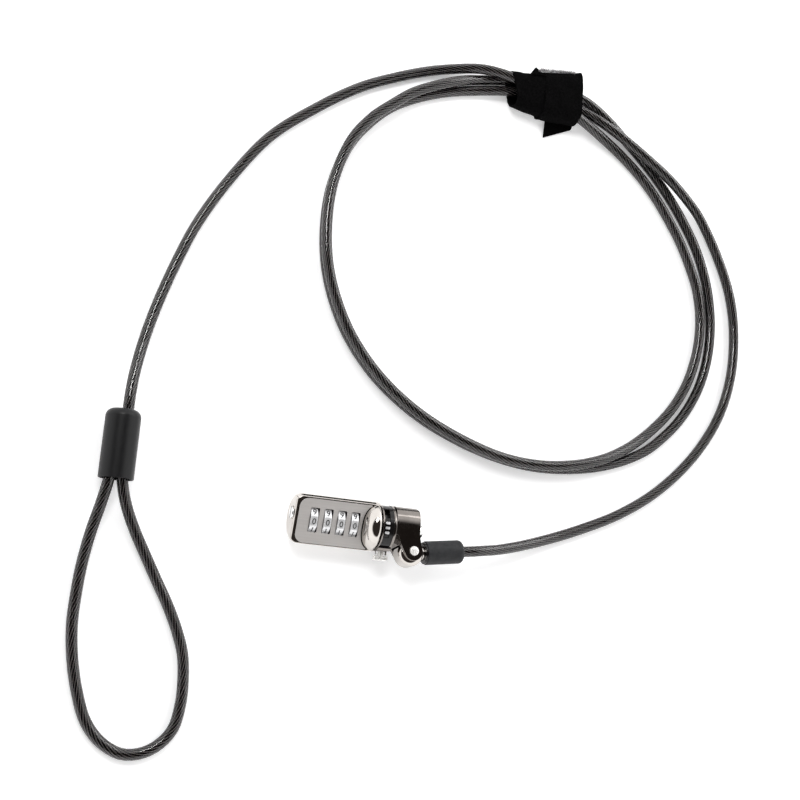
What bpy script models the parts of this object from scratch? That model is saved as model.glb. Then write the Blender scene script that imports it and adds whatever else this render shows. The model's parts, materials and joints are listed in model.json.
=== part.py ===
"""Laptop cable lock: a four-dial combination head on a swivelling yoke, with a vinyl-covered steel cable.

The head lies along +X with its closed end at -X. The floor is z = 0. Lengths are in metres.
"""

from math import cos, pi, radians, sin

import bmesh
import bpy
from mathutils import Matrix, Vector
from mathutils.geometry import interpolate_bezier

MM = 0.001
GAP = 0.3 * MM
STEPS = 40
SHARP_ANGLE = radians(35)

# Where the closed end of the head sits, and how each group is turned about the head's own axis.
BODY_RADIUS = 11.2 * MM
ORIGIN = Vector((-40.95 * MM, 2.6 * MM, BODY_RADIUS))
DIAL_ROLL = radians(16)
YOKE_ROLL = radians(-8)
LUG_TURN = radians(8)

# Head barrel, its domed shoulder and its dial face.
BODY_LENGTH = 39.3 * MM
BODY_EDGE = 0.6 * MM
END_FILLET = 3.5 * MM
FACE_HEIGHT = 3.5 * MM
PLATE_THICKNESS = 1.0 * MM
PLATE_START = 1.8 * MM
PLATE_END = 37 * MM
PLATE_HALF_WIDTH = 10.4 * MM
PLATE_CORNER = 4.0 * MM
DOME_PROFILE = [
    (31.9, 0.0), (31.95, 3.5), (32.3, 5.9), (33.0, 7.7), (34.0, 9.1), (35.1, 10.0), (36.2, 10.6),
    (37.3, 10.95), (38.0, 10.95), (38.6, 10.6), (39.2, 9.7),
]
CAVITY = (3.6 * MM, 31.0 * MM)
CAVITY_RADIUS = 9.6 * MM

# Dials.
DIAL_COUNT = 4
DIAL_FACES = 10
FIRST_DIAL = 9.2 * MM
DIAL_PITCH = 6.3 * MM
DIAL_RADIUS = 7.0 * MM
DIAL_WIDTH = 3.6 * MM
DIAL_BORE = 4.2 * MM
DIAL_AXIS_Z = -2.0 * MM
WINDOW = (4.1 * MM, 11.1 * MM)
SLEEVE_RADIUS = 3.65 * MM
SLEEVE_BORE = 2.05 * MM
SLEEVE_LENGTH = 5.0 * MM
NOTCH_HALF = 0.6 * MM
SPINDLE_RADIUS = 1.7 * MM
SPINDLE = (2.4 * MM, 34.2 * MM)
GROOVE = (32.2 * MM, 33 * MM)
GROOVE_RADIUS = 1.3 * MM
BUSH = (31.3 * MM, 34.2 * MM)
BUSH_RADIUS = 2.9 * MM
COIL = (4.3 * MM, 5.8 * MM)
COIL_RADIUS = 2.7 * MM
COIL_WIRE = 0.2 * MM

# Detent leaf and fence bar: corners, and the gaps and teeth along them.
LEAF = ((6 * MM, 7.55 * MM, -4.6 * MM), (30.4 * MM, 7.95 * MM, 1.6 * MM))
LEAF_GAP_HALF = 0.8 * MM
LEAF_GAP_LOW = -3.4 * MM
FENCE = ((5.4 * MM, -9.0 * MM, -2.8 * MM), (30.0 * MM, -8.2 * MM, -1.2 * MM))
TOOTH_BEFORE_DIAL = 1.35 * MM
TOOTH_WIDTH = 1.0 * MM
TOOTH_TIP = -4.75 * MM
TOOTH_HEIGHT = (-2.4 * MM, -1.6 * MM)

# Reset screw, set off the spindle in the closed end.
RESET_CENTRE = (2.2 * MM, 0.6 * MM)
RESET_SHANK = 0.9 * MM
RESET_RADIUS = 2.7 * MM
RESET_HEAD = (-1.0 * MM, -0.3 * MM)
RESET_END = 3.2 * MM
RESET_CHAMFER = 0.25 * MM
RESET_SLOT_HALF = 0.4 * MM

# Collar with the thumb slider and the T-bar.
COLLAR = (39.6 * MM, 46.0 * MM)
COLLAR_RADIUS = 10.2 * MM
COLLAR_BORE = 8.3 * MM
COLLAR_WEB = 1.0 * MM
COLLAR_EDGE = 0.5 * MM
TBAR_X = 42.8 * MM
PAD_HALF_HEIGHT = 4.3 * MM
PAD_FACE = 10.7 * MM
PAD_INNER = 8.9 * MM
CHANNEL = (1.6 * MM, 0.4 * MM)
TBAR_STEM = 1.3 * MM
STEM_GAP = 0.25 * MM
STEM_START = 4.9 * MM
TBAR_HEAD = (6.6 * MM, 2.2 * MM, 2.7 * MM)
TBAR_FACE = 15.0 * MM
TBAR_CHAMFER = (0.5 * MM, 0.4 * MM)
PINION_RADIUS = 1.9 * MM
PINION = (6.0 * MM, 7.3 * MM)
PIN_OFFSET = 2.35 * MM
PIN_RADIUS = 0.5 * MM
PIN_HOLE_RADIUS = 0.56 * MM
PIN = (8.6 * MM, 12.4 * MM)
SLIDER_WINDOW = (radians(-50), radians(31))
SLIDER_ARC = (radians(-20), radians(29))
SLIDER_X = (40.5 * MM, 42.7 * MM)
SLIDER_RADII = (7.7 * MM, 10.1 * MM)
FLANGE_X = (39.9 * MM, 43.6 * MM)
FLANGE_RADII = (7.0 * MM, 7.95 * MM)
FLANGE_SPREAD = 0.05
RIB_RADII = (9.6 * MM, 10.9 * MM)
RIB_AT = (0.26, 0.50, 0.74)
RIB_HALF = 0.05
RIB_INSET = 0.1 * MM

# Swivel post, yoke and rivet.
POST_RADIUS = 2.6 * MM
POST_START = 36.3 * MM
FLANGE = (43.0 * MM, 44.0 * MM)
FLANGE_RADIUS = 4.2 * MM
CAP = (57.8 * MM, 61.4 * MM)
CAP_RADIUS = 3.5 * MM
CAP_EDGE = 1.2 * MM
YOKE = (46.4 * MM, 57.5 * MM)
YOKE_RADIUS = 9.7 * MM
PIN_AT = (55.5 * MM, -10.7 * MM)
EAR_RADIUS = 4.2 * MM
EAR_TOP = 7.6 * MM
SLOT_HALF = 5.3 * MM
SLOT_FLOOR = -4.4 * MM
YOKE_TOP = 10.5 * MM
YOKE_CORNER = 3.2 * MM
WASHER = (46.3 * MM, 47.1 * MM)
WASHER_RADIUS = 5.5 * MM
RECESS_RADIUS = 5.9 * MM
RECESS_FLOOR = 47.4 * MM
RIVET_RADIUS = 1.5 * MM
RIVET_HEAD = (2.15 * MM, 0.8 * MM)
RIVET_EDGE = 0.3 * MM

# Lug, ferrule and boot, measured along the cable from the rivet.
EYE_RADIUS = 5.8 * MM
EYE_HALF = 5.0 * MM
EYE_EDGE = 0.7 * MM
NECK = (4.5 * MM, 12 * MM)
NECK_RADIUS = 3.1 * MM
FERRULE = (7.2 * MM, 24.0 * MM)
FERRULE_RADIUS = 3.8 * MM
FERRULE_STEP = 12.5 * MM
LIP_WIDTH = 1.1 * MM
LIP_RADIUS = 4.8 * MM
BOOT = (8.6 * MM, 27.3 * MM)
BOOT_RADIUS = 5.4 * MM
BOOT_EDGE = 2.2 * MM

# Cable.
CABLE_RADIUS = 2.5 * MM
RUN_POINTS = 62
LOOP_POINTS = 18

# Crimped end and cable tie.
CRIMP_AT = Vector((-118.4 * MM, 25.3 * MM, 7.6 * MM))
CRIMP_LENGTH = 30.0 * MM
CRIMP_RADIUS = 7.6 * MM
CRIMP_BORE = 6.8 * MM
CRIMP_SHOULDER = 3.2 * MM
CRIMP_ENTRY = 1.7 * MM
CRIMP_END_WALL = 3.5 * MM
CRIMP_FERRULE = (2.9 * MM, 21 * MM)
STRAND_OFFSET = 2.75 * MM
TIE_AT = Vector((69.5 * MM, 227.0 * MM, 0.0))
TIE_TURN = radians(4.7)
TIE_LENGTH = 34.0 * MM
TIE_SIDES = (-12.4 * MM, 12.0 * MM)
TIE_HEIGHT = 14.2 * MM
TIE_WALL = 1.2 * MM
TIE_CORNER = 4.3 * MM
TIE_TAIL = [(17 * MM, -9 * MM), (0.5 * MM, -9 * MM), (0.5 * MM, -19 * MM), (1.5 * MM, -23 * MM),
            (14 * MM, -19 * MM)]
TIE_TAIL_HEIGHT = 0.65 * MM

# The cable's route from the boot to the crimp, as (x, y, height of its middle) in millimetres.
RUN_ROUTE = [
    (42.2, -4.2, 12.1), (50.5, -3.0, 11.8), (64, -0.5, 8.6), (85, 5.5, 3.7), (106.1, 13.4, 2.5),
    (127.6, 23.5, 2.5), (148, 37.2, 2.5), (167, 56.2, 2.5), (180.7, 77.6, 2.5), (187.5, 99, 2.5),
    (189, 121, 2.5), (186, 142, 2.5), (178, 162, 2.5), (164.5, 182, 4.0), (153, 191.3, 6.4),
    (141, 199.3, 7.9), (128, 207, 8.0), (116, 214, 7.4), (105, 220, 6.2), (93, 225, 4.7),
    (79, 227.3, 4.3), (65, 228, 4.3), (50, 226.7, 4.3), (34, 223.8, 2.6), (18, 219.2, 2.5),
    (3, 212.7, 2.5), (-9.4, 205.1, 2.5), (-20, 194.5, 2.5), (-29, 181, 2.5), (-35.4, 160.5, 2.5),
    (-36.7, 141, 2.5), (-34.4, 121.6, 2.5), (-28.3, 103.7, 2.5), (-18.4, 86.8, 2.5), (-3.5, 71, 2.5),
    (16.4, 57.6, 2.5), (39.2, 48.1, 2.5), (61, 42.6, 2.5), (81, 40.8, 2.5), (101, 42.5, 2.5),
    (120, 47, 2.5), (138.5, 55.5, 2.5), (151, 66, 2.5), (160, 76.5, 2.5), (167, 88.5, 2.5),
    (171.3, 100, 2.5), (173.8, 113, 2.5), (174.3, 127, 2.5), (172.5, 141, 2.5), (169, 153.5, 2.5),
    (163, 167, 2.5), (154.5, 180, 2.5), (144, 193, 2.5), (131, 205.8, 2.5), (117.5, 216.8, 2.6),
    (105, 225.6, 3.4), (92, 231.6, 4.2), (79, 233.1, 4.3), (65, 233.6, 4.3), (50, 232.2, 4.3),
    (34.5, 229.2, 3.5), (23, 224.8, 6.6), (11, 219.3, 7.6), (-1, 212.6, 7.7), (-10, 205.2, 7.7),
    (-20.8, 195, 7.7), (-29.9, 181.3, 7.7), (-36.1, 160.6, 7.7), (-37.3, 141, 7.7),
    (-34.9, 121.4, 7.7), (-28.6, 103.4, 7.7), (-18.5, 86.4, 7.7), (-3.4, 70.6, 7.7),
    (16.4, 57.3, 7.7), (39.1, 47.8, 7.7), (61.1, 42.2, 7.7), (81, 41.3, 7.7), (98, 43.6, 7.7),
    (112, 47.8, 7.2), (124, 53.5, 5.4), (134.5, 60.3, 3.3), (145, 69.5, 2.5), (154, 80, 2.5),
    (161, 92, 2.5), (165.3, 104, 2.5), (167.8, 117, 2.5), (168, 130, 2.5), (165.7, 143, 2.5),
    (160.6, 155.6, 2.5), (154.3, 167.4, 2.5), (146.5, 178.6, 2.5), (137.9, 189.2, 2.5), (128.2, 198.7, 2.5),
    (117.3, 206.8, 2.7), (105, 213.4, 4.2), (90, 219.6, 7.0), (77, 223.4, 9.2), (65, 228, 9.4),
    (55, 230.7, 9.5), (45.2, 232.5, 9.2), (33.7, 233.5, 6.9), (21, 231.6, 4.1), (7, 227.5, 2.6),
    (-8, 221, 2.5), (-26, 211.5, 2.5), (-45, 197.5, 2.5), (-67, 177.5, 2.5), (-84, 152.5, 2.5),
    (-96, 129.5, 2.5), (-103, 110.5, 2.5), (-109, 90.5, 2.5), (-113.1, 73, 3.5),
    (-115.8, 57, 6.1), (-116.6, 47, 7.3), (-116.7, 41.1, 7.6),
]
LOOP_ROUTE = [
    (-115.65, 14, 7.6), (-115.5, 10, 7.5), (-112.6, 0.5, 6.2), (-107.4, -10, 4.4), (-101.4, -20, 3.0),
    (-95.4, -30, 2.5), (-89.4, -40, 2.5), (-84.3, -50, 2.5), (-80.5, -60, 2.5), (-79, -70, 2.5),
    (-78.9, -81.6, 2.5), (-81.4, -92.5, 2.5), (-89.5, -100.6, 2.5), (-100.4, -103, 2.5),
    (-110.4, -98.5, 2.5), (-117.6, -90.5, 2.5), (-122.3, -79.5, 2.5), (-125.9, -66.5, 2.5),
    (-128, -52, 2.5), (-128, -39, 2.5), (-127.2, -26, 2.8), (-125.5, -13, 4.6), (-122.9, 0, 6.4),
    (-121.3, 9.5, 7.5), (-121.15, 14, 7.6),
]


def clear_scene():
    for item in list(bpy.data.objects):
        bpy.data.objects.remove(item, do_unlink=True)


def new_collection(name):
    group = bpy.data.collections.new(name)
    bpy.context.scene.collection.children.link(group)
    return group


def material(name, colour, metallic, roughness):
    found = bpy.data.materials.get(name)
    if found:
        return found
    made = bpy.data.materials.new(name)
    made.use_nodes = True
    shader = made.node_tree.nodes["Principled BSDF"]
    shader.inputs["Base Color"].default_value = (*colour, 1.0)
    shader.inputs["Metallic"].default_value = metallic
    shader.inputs["Roughness"].default_value = roughness
    return made


def black_nickel():
    return material("black_nickel", (0.12, 0.115, 0.11), 1.0, 0.12)


def satin_grey():
    return material("satin_grey", (0.32, 0.31, 0.30), 0.9, 0.38)


def bright_steel():
    return material("bright_steel", (0.72, 0.72, 0.72), 1.0, 0.22)


def spring_steel():
    return material("spring_steel", (0.45, 0.45, 0.46), 1.0, 0.3)


def brass():
    return material("brass", (0.62, 0.45, 0.2), 1.0, 0.3)


def rubber():
    return material("rubber", (0.035, 0.035, 0.037), 0.0, 0.6)


def clear_vinyl():
    return material("smoked_vinyl", (0.05, 0.048, 0.045), 0.0, 0.15)


def webbing():
    return material("hook_and_loop", (0.006, 0.006, 0.006), 0.0, 0.95)


def place(item, parent=None, at=(0, 0, 0), turn=(0, 0, 0), collection=None):
    (collection or PARTS).objects.link(item)
    item.parent = parent
    item.location = at
    item.rotation_euler = turn
    return item


def finish(item, look):
    """Settle the item's modifiers, shade its round faces smooth and give it its material."""
    if item.type == "MESH":
        bpy.context.view_layer.update()
        graph = bpy.context.evaluated_depsgraph_get()
        shape = bpy.data.meshes.new_from_object(item.evaluated_get(graph))
        shape.name = item.name
        item.modifiers.clear()
        item.data = shape
        shape.shade_smooth()
        shape.set_sharp_from_angle(angle=SHARP_ANGLE)
    item.data.materials.clear()
    item.data.materials.append(look)
    return item


def guide(item):
    item.hide_render = True
    item.display_type = "WIRE"
    return item


def pivot(name, parent=None, at=(0, 0, 0), turn=(0, 0, 0)):
    item = bpy.data.objects.new(name, None)
    return place(item, parent, at, turn)


def turned(name, profile, steps=STEPS):
    """A profile of (radius, height) turned about local Z; a profile that closes on itself makes a ring."""
    closed = profile[0] == profile[-1]
    points = profile[:-1] if closed else profile
    mesh = bpy.data.meshes.new(name)
    edges = [(i, i + 1) for i in range(len(points) - 1)]
    if closed:
        edges.append((len(points) - 1, 0))
    mesh.from_pydata([(r, 0, z) for r, z in points], edges, [])
    item = bpy.data.objects.new(name, mesh)
    screw = item.modifiers.new("turn", "SCREW")
    screw.axis = "Z"
    screw.angle = 2 * pi
    screw.steps = steps
    screw.render_steps = steps
    screw.use_merge_vertices = True
    screw.merge_threshold = 0.00001
    return item


def rod_profile(radius, low, high):
    return [(0, high), (radius, high), (radius, low), (0, low)]


def ring_profile(outer, inner, low, high):
    return [(outer, high), (outer, low), (inner, low), (inner, high), (outer, high)]


def block(name, low, high):
    """A box between two corners, made about its own middle."""
    bpy.ops.mesh.primitive_cube_add(size=1)
    item = bpy.context.active_object
    for owner in list(item.users_collection):
        owner.objects.unlink(item)
    item.name = name
    low, high = Vector(low), Vector(high)
    size, middle = high - low, (high + low) / 2
    item.data.transform(Matrix.Translation(middle) @ Matrix.Diagonal((*size, 1)))
    return item


def arc(centre, radius, start, end, count=5):
    return [
        (centre[0] + radius * cos(start + (end - start) * i / count),
         centre[1] + radius * sin(start + (end - start) * i / count))
        for i in range(count + 1)
    ]


def flat(name, outlines, thickness):
    """A filled outline of thickness, lying in local XY and centred on it, as a mesh."""
    curve = bpy.data.curves.new(name, "CURVE")
    curve.dimensions = "2D"
    curve.fill_mode = "BOTH"
    curve.extrude = thickness / 2
    for outline in outlines:
        spline = curve.splines.new("POLY")
        spline.points.add(len(outline) - 1)
        for point, (x, y) in zip(spline.points, outline):
            point.co = (x, y, 0, 1)
        spline.use_cyclic_u = True
    return as_mesh(name, curve)


def as_mesh(name, curve):
    source = bpy.data.objects.new(name + "_curve", curve)
    bpy.context.scene.collection.objects.link(source)
    bpy.context.view_layer.update()
    graph = bpy.context.evaluated_depsgraph_get()
    shape = bpy.data.meshes.new_from_object(source.evaluated_get(graph))
    bpy.data.objects.remove(source)
    weld(shape)
    shape.name = name
    return bpy.data.objects.new(name, shape)


def weld(mesh):
    form = bmesh.new()
    form.from_mesh(mesh)
    bmesh.ops.remove_doubles(form, verts=form.verts, dist=0.000001)
    bmesh.ops.recalc_face_normals(form, faces=form.faces)
    form.to_mesh(mesh)
    form.free()


def tube(name, points, radius, resolution=2):
    """A round tube of straight spans through points, with filled ends."""
    curve = bpy.data.curves.new(name, "CURVE")
    curve.dimensions = "3D"
    curve.bevel_depth = radius
    curve.bevel_resolution = resolution
    curve.use_fill_caps = True
    spline = curve.splines.new("POLY")
    spline.points.add(len(points) - 1)
    for point, where in zip(spline.points, points):
        point.co = (*where, 1)
    return bpy.data.objects.new(name, curve)


def combine(item, tool, operation):
    step = item.modifiers.new(operation.lower(), "BOOLEAN")
    step.operation = operation
    step.object = tool
    step.solver = "EXACT"
    return item


def cut(item, tool, parent=None, at=(0, 0, 0), turn=(0, 0, 0)):
    guide(place(tool, parent, at, turn, CUTTERS))
    return combine(item, tool, "DIFFERENCE")


def join(item, tool, parent=None, at=(0, 0, 0), turn=(0, 0, 0)):
    guide(place(tool, parent, at, turn, CUTTERS))
    return combine(item, tool, "UNION")


def along_x(x=0.0, y=0.0, z=0.0):
    """Keyword arguments that lay a turned shape along +X from the given point."""
    return {"at": (x, y, z), "turn": (0, pi / 2, 0)}


def along_minus_y(x=0.0, z=0.0):
    return {"at": (x, 0, z), "turn": (pi / 2, 0, 0)}


def dome_profile(grow=0.0):
    """The shoulder's outline as a turned profile, from its base to its tip, enlarged by an amount."""
    points = [(radius * MM + grow, along * MM - grow) for along, radius in reversed(DOME_PROFILE)]
    return [(0, points[0][1] + grow), (points[0][0], points[0][1] + grow), *points[1:-1], (0, points[-1][1])]


def make_body(dials):
    fillet = arc((BODY_RADIUS - END_FILLET, END_FILLET), END_FILLET, 0, -pi / 2)
    profile = [(0, BODY_LENGTH), (BODY_RADIUS - BODY_EDGE, BODY_LENGTH),
               (BODY_RADIUS, BODY_LENGTH - BODY_EDGE)]
    body = turned("lock_body", profile + fillet + [(0, 0)], steps=56)
    place(body, dials, **along_x())
    plate_bed = FACE_HEIGHT - PLATE_THICKNESS - GAP
    reach = 13 * MM
    cut(body, block("face_cutter", (-reach, -reach, plate_bed), (BODY_LENGTH + reach, reach, reach)), dials)
    join(body, turned("dome", dome_profile(), steps=48), dials, **along_x())
    cut(body, turned("cavity_cutter", rod_profile(CAVITY_RADIUS, *CAVITY)), dials, **along_x())
    bore = SPINDLE_RADIUS + GAP
    low = SPINDLE[0] - GAP
    cut(body, turned("spindle_hole", rod_profile(bore, low, BUSH[0]), 24), dials, **along_x(z=DIAL_AXIS_Z))
    bush_hole = rod_profile(BUSH_RADIUS + GAP, CAVITY[1] - 0.5 * MM, BUSH[1] + GAP)
    cut(body, turned("bush_hole", bush_hole, 24), dials, **along_x(z=DIAL_AXIS_Z))
    cut(body, turned("reset_hole", rod_profile(RESET_SHANK + GAP, -1 * MM, RESET_END + 1 * MM), 20), dials,
        **along_x(y=RESET_CENTRE[0], z=RESET_CENTRE[1]))
    cut(body, turned("post_hole", rod_profile(POST_RADIUS + GAP, POST_START - GAP, 41 * MM), 32), dials,
        **along_x())
    finish(body, black_nickel())


def make_dial_plate(dials):
    half = PLATE_HALF_WIDTH
    left = PLATE_START + PLATE_CORNER
    outline = [(PLATE_END, -half), (PLATE_END, half)]
    outline += arc((left, half - PLATE_CORNER), PLATE_CORNER, pi / 2, pi, 6)
    outline += arc((left, PLATE_CORNER - half), PLATE_CORNER, pi, 1.5 * pi, 6)
    plate = flat("dial_plate", [outline], PLATE_THICKNESS)
    place(plate, dials, (0, 0, FACE_HEIGHT - PLATE_THICKNESS / 2))
    cut(plate, turned("dome_clearance", dome_profile(GAP), steps=48), dials, **along_x())
    for i in range(DIAL_COUNT):
        middle = FIRST_DIAL + i * DIAL_PITCH
        low = (middle - WINDOW[0] / 2, -WINDOW[1] / 2, 0)
        high = (middle + WINDOW[0] / 2, WINDOW[1] / 2, 6 * MM)
        cut(plate, block(f"window_cutter_{i + 1}", low, high), dials)
    finish(plate, satin_grey())


def make_dials(dials):
    """Ten-sided wheels, each on its own notched sleeve, with a flat towards the window."""
    for i in range(DIAL_COUNT):
        middle = FIRST_DIAL + i * DIAL_PITCH
        axle = pivot(f"dial_axis_{i + 1}", dials, (middle, 0, DIAL_AXIS_Z))
        half = DIAL_WIDTH / 2
        wheel = turned(f"dial_wheel_{i + 1}", ring_profile(DIAL_RADIUS, DIAL_BORE, -half, half), DIAL_FACES)
        flat_up = Matrix.Rotation(pi / DIAL_FACES, 3, "X") @ Matrix.Rotation(pi / 2, 3, "Y")
        place(wheel, axle, turn=flat_up.to_euler())
        finish(wheel, bright_steel())
        half = SLEEVE_LENGTH / 2
        sleeve = turned(f"code_sleeve_{i + 1}", ring_profile(SLEEVE_RADIUS, SLEEVE_BORE, -half, half), 24)
        place(sleeve, axle, turn=(0, pi / 2, 0))
        notch = block(f"notch_cutter_{i + 1}", (-4 * MM, -5 * MM, -NOTCH_HALF),
                      (4 * MM, -2.9 * MM, NOTCH_HALF))
        cut(sleeve, notch, axle)
        finish(sleeve, brass())


def make_spindle(dials):
    profile = [(0, SPINDLE[1]), (SPINDLE_RADIUS, SPINDLE[1]), (SPINDLE_RADIUS, GROOVE[1]),
               (GROOVE_RADIUS, GROOVE[1]), (GROOVE_RADIUS, GROOVE[0]), (SPINDLE_RADIUS, GROOVE[0]),
               (SPINDLE_RADIUS, SPINDLE[0]), (0, SPINDLE[0])]
    spindle = turned("dial_spindle", profile, 24)
    finish(place(spindle, dials, **along_x(z=DIAL_AXIS_Z)), bright_steel())
    bush = turned("spindle_bush", ring_profile(BUSH_RADIUS, SLEEVE_BORE, *BUSH), 24)
    finish(place(bush, dials, **along_x(z=DIAL_AXIS_Z)), brass())
    turns, per_turn = 3, 10
    coil = []
    for i in range(turns * per_turn + 1):
        angle = 2 * pi * i / per_turn
        height = COIL[0] + (COIL[1] - COIL[0]) * i / (turns * per_turn)
        coil.append((height, COIL_RADIUS * cos(angle), COIL_RADIUS * sin(angle)))
    spring = tube("spindle_spring", coil, COIL_WIRE, 1)
    finish(place(spring, dials, (0, 0, DIAL_AXIS_Z)), spring_steel())


def make_detent_and_fence(dials):
    """A comb of leaf fingers on one side of the wheels, and the toothed fence bar on the other."""
    leaf = place(block("detent_spring", *LEAF), dials)
    for i in range(DIAL_COUNT - 1):
        middle = FIRST_DIAL + (i + 0.5) * DIAL_PITCH
        gap = block(f"leaf_gap_{i + 1}", (middle - LEAF_GAP_HALF, 7 * MM, LEAF_GAP_LOW),
                    (middle + LEAF_GAP_HALF, 8.5 * MM, 3 * MM))
        cut(leaf, gap, dials)
    finish(leaf, spring_steel())
    bar = place(block("fence_bar", *FENCE), dials)
    low, high = TOOTH_HEIGHT
    for i in range(DIAL_COUNT):
        near = FIRST_DIAL + i * DIAL_PITCH - DIAL_WIDTH / 2 - TOOTH_BEFORE_DIAL
        tooth = block(f"fence_tooth_{i + 1}", (near, -8.5 * MM, low), (near + TOOTH_WIDTH, TOOTH_TIP, high))
        join(bar, tooth, dials)
    finish(bar, bright_steel())


def make_reset_screw(dials):
    face, back = RESET_HEAD
    profile = [(0, RESET_END), (RESET_SHANK, RESET_END), (RESET_SHANK, back), (RESET_RADIUS, back),
               (RESET_RADIUS, face + RESET_CHAMFER), (RESET_RADIUS - RESET_CHAMFER, face), (0, face)]
    axle = pivot("reset_axis", dials, (0, *RESET_CENTRE))
    screw = turned("reset_screw", profile, 32)
    place(screw, axle, turn=(0, pi / 2, 0))
    slot = block("screw_slot", (-2 * MM, -4 * MM, -RESET_SLOT_HALF), (-0.65 * MM, 4 * MM, RESET_SLOT_HALF))
    cut(screw, slot, axle)
    finish(screw, bright_steel())


def make_collar(head):
    """A ring closed by a web, with two flat lands either side of the channel that the T-bar lies over."""
    x0, x1 = COLLAR
    profile = [(COLLAR_RADIUS - COLLAR_EDGE, x1), (COLLAR_RADIUS, x1 - COLLAR_EDGE),
               (COLLAR_RADIUS, x0 + COLLAR_EDGE), (COLLAR_RADIUS - COLLAR_EDGE, x0), (COLLAR_BORE, x0),
               (COLLAR_BORE, x1 - COLLAR_WEB), (POST_RADIUS + GAP, x1 - COLLAR_WEB), (POST_RADIUS + GAP, x1),
               (COLLAR_RADIUS - COLLAR_EDGE, x1)]
    collar = turned("collar_ring", profile, 56)
    place(collar, head, **along_x())
    inset = 0.05 * MM
    pad = block("collar_pad", (x0 + inset, -PAD_FACE, -PAD_HALF_HEIGHT),
                (x1 - inset, -PAD_INNER, PAD_HALF_HEIGHT))
    join(collar, pad, head)
    half, depth = CHANNEL
    cut(collar, block("bar_channel", (x0 - 1 * MM, -12 * MM, -half), (x1 + 1 * MM, depth - PAD_FACE, half)),
        head)
    cut(collar, turned("stem_hole", rod_profile(TBAR_STEM + STEM_GAP, 5 * MM, 12 * MM), 24), head,
        **along_minus_y(TBAR_X))
    for i, side in enumerate((-1, 1)):
        cut(collar, turned(f"pin_hole_{i + 1}", rod_profile(PIN_HOLE_RADIUS, 7 * MM, 12 * MM), 16), head,
            **along_minus_y(TBAR_X + side * PIN_OFFSET))
    window = sector("slider_window", COLLAR_BORE - 0.8 * MM, 12 * MM, SLIDER_X[0] - GAP, SLIDER_X[1] + GAP,
                    *SLIDER_WINDOW)
    cut(collar, window, head)
    finish(collar, black_nickel())


def sector(name, inner, outer, x0, x1, start, end, count=12):
    """Part of a ring about X; angles run from +Z towards -Y."""
    outline = [(outer * cos(a), outer * sin(a)) for a in steps_between(start, end, count)]
    outline += [(inner * cos(a), inner * sin(a)) for a in steps_between(end, start, count)]
    item = flat(name, [outline], x1 - x0)
    turn = Matrix(((0, 0, 1), (0, -1, 0), (1, 0, 0)))
    item.data.transform(Matrix.Translation(((x0 + x1) / 2, 0, 0)) @ turn.to_4x4())
    return item


def steps_between(start, end, count):
    return [start + (end - start) * i / count for i in range(count + 1)]


def make_slider(head):
    """A curved button with three ribs outside the collar and a retaining flange inside it."""
    start, end = SLIDER_ARC
    slider = sector("thumb_slider", *SLIDER_RADII, *SLIDER_X, start, end)
    place(slider, head)
    flange = sector("slider_flange", *FLANGE_RADII, *FLANGE_X, start - FLANGE_SPREAD, end + FLANGE_SPREAD)
    join(slider, flange, head)
    for i, share in enumerate(RIB_AT):
        middle = start + (end - start) * share
        rib = sector(f"slider_rib_{i + 1}", *RIB_RADII, SLIDER_X[0] + RIB_INSET, SLIDER_X[1] - RIB_INSET,
                     middle - RIB_HALF, middle + RIB_HALF, 2)
        join(slider, rib, head)
    finish(slider, black_nickel())


def make_tbar(head):
    stem_axis = pivot("tbar_axis", head, (TBAR_X, 0, 0))
    length, thick, depth = TBAR_HEAD
    low = TBAR_FACE - thick
    stem = turned("tbar_cleat", rod_profile(TBAR_STEM, STEM_START, low + 0.5 * MM), 24)
    place(stem, stem_axis, turn=(pi / 2, 0, 0))
    end, (along, deep) = length / 2, TBAR_CHAMFER
    outline = [(-end, 0), (end, 0), (end, thick - deep), (end - along, thick), (along - end, thick),
               (-end, thick - deep)]
    bar = flat("tbar_head", [outline], depth)
    bar.data.transform(Matrix.Diagonal((1, -1, 1, 1)))
    weld(bar.data)
    join(stem, bar, stem_axis, (0, -low, 0))
    finish(stem, bright_steel())
    pinion = turned("tbar_pinion", ring_profile(PINION_RADIUS, TBAR_STEM + STEM_GAP, *PINION), 16)
    place(pinion, stem_axis, turn=(pi / 2, 0, 0))
    finish(pinion, brass())


def make_abutment_pins(head):
    for i, side in enumerate((-1, 1)):
        pin = turned(f"abutment_pin_{i + 1}", rod_profile(PIN_RADIUS, *PIN), 16)
        place(pin, head, **along_minus_y(TBAR_X + side * PIN_OFFSET))
        finish(pin, bright_steel())


def make_swivel_post(head):
    x0, x1 = CAP
    profile = [(0, x1)] + arc((CAP_RADIUS - CAP_EDGE, x1 - CAP_EDGE), CAP_EDGE, pi / 2, 0)
    profile += [(CAP_RADIUS, x0), (POST_RADIUS, x0), (POST_RADIUS, FLANGE[1]), (FLANGE_RADIUS, FLANGE[1]),
                (FLANGE_RADIUS, FLANGE[0]), (POST_RADIUS, FLANGE[0]), (POST_RADIUS, POST_START),
                (0, POST_START)]
    post = turned("swivel_post", profile, 32)
    finish(place(post, head, **along_x()), bright_steel())


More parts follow.
